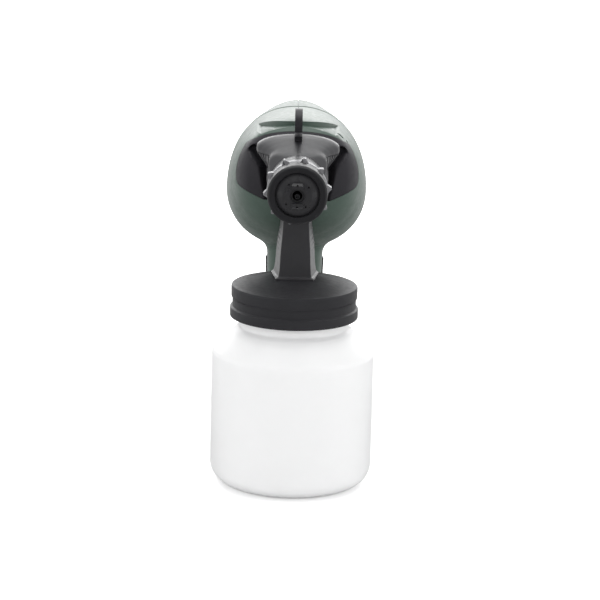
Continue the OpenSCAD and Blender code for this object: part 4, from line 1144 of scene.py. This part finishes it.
# A white studio: dim in front of the object where the room shows in its gloss, white above and behind it
world = bpy.data.worlds.new("studio")
bpy.context.scene.world = world
world.use_nodes = True
tree = world.node_tree
background = tree.nodes["Background"]
path = node(tree, "LightPath")
way = node(tree, "TexCoord").outputs["Generated"]
toward = node(tree, "VectorMath", {0: way, 1: (0, 1.0, 0.45)}, operation="DOT_PRODUCT")
graded = node(tree, "MapRange", {
    "Value": toward.outputs["Value"], "From Min": -0.5, "From Max": 0.4, "To Min": 0.1, "To Max": 1.0,
}, interpolation_type="SMOOTHSTEP")
shiny = node(
    tree, "Math", {0: path.outputs["Is Glossy Ray"], 1: path.outputs["Is Transmission Ray"]},
    operation="MAXIMUM"
)
level = node(tree, "Mix", {0: shiny.outputs[0], 2: 0.4, 3: graded.outputs["Result"]}, data_type="FLOAT")
whole_view = node(tree, "Math", {0: path.outputs["Is Camera Ray"], 1: level.outputs[0]}, operation="MAXIMUM")
tree.links.new(whole_view.outputs[0], background.inputs["Strength"])
background.inputs["Color"].default_value = (1, 1, 1, 1)

floor_mesh = bpy.data.meshes.new("floor")
floor_mesh.from_pydata([(-9, -9, 0), (9, -9, 0), (9, 9, 0), (-9, 9, 0)], [], [(0, 1, 2, 3)])
floor = bpy.data.objects.new("floor", floor_mesh)
bpy.context.scene.collection.objects.link(floor)
floor.location.z = -0.0002
pale = bpy.data.materials.new("pale floor")
pale.use_nodes = True
tree = pale.node_tree
base = tree.nodes["Principled BSDF"]
base.inputs["Base Color"].default_value = (0.9, 0.9, 0.9, 1)
base.inputs["Roughness"].default_value = 0.6
base.inputs["Specular IOR Level"].default_value = 0.1
away = node(tree, "VectorMath", {0: node(tree, "TexCoord").outputs["Object"]}, operation="LENGTH")
near_far = node(tree, "MapRange", {
    "Value": away.outputs["Value"], "From Min": 0.12, "From Max": 0.9, "To Min": 0.3, "To Max": 1.0,
}, interpolation_type="SMOOTHSTEP")
seen = node(
    tree, "Math", {0: node(tree, "LightPath").outputs["Is Camera Ray"], 1: near_far.outputs["Result"]},
    operation="MULTIPLY"
)
glow = node(tree, "Emission", {"Color": (1, 1, 1, 1), "Strength": seen.outputs[0]})
both = node(tree, "AddShader", {0: base.outputs[0], 1: glow.outputs[0]})
place = node(tree, "SeparateXYZ", {0: node(tree, "TexCoord").outputs["Object"]})
sideways = node(tree, "Math", {0: place.outputs["X"]}, operation="ABSOLUTE")
behind = node(tree, "Math", {0: sideways.outputs[0], 1: place.outputs["Y"]}, operation="ADD")
ramp = node(tree, "MapRange", {
    "Value": behind.outputs[0], "From Min": 0.15, "From Max": 0.85, "To Min": 0.2, "To Max": 1.0,
}, interpolation_type="SMOOTHSTEP")
in_gloss = node(tree, "Emission", {"Color": (1, 1, 1, 1), "Strength": ramp.outputs["Result"]})
kind = node(tree, "LightPath")
mixed = node(
    tree, "MixShader", {0: kind.outputs["Is Glossy Ray"], 1: both.outputs[0], 2: in_gloss.outputs[0]}
)
tree.links.new(mixed.outputs[0], tree.nodes["Material Output"].inputs["Surface"])
floor_mesh.materials.append(pale)

bpy.context.scene.view_settings.view_transform = "Standard"
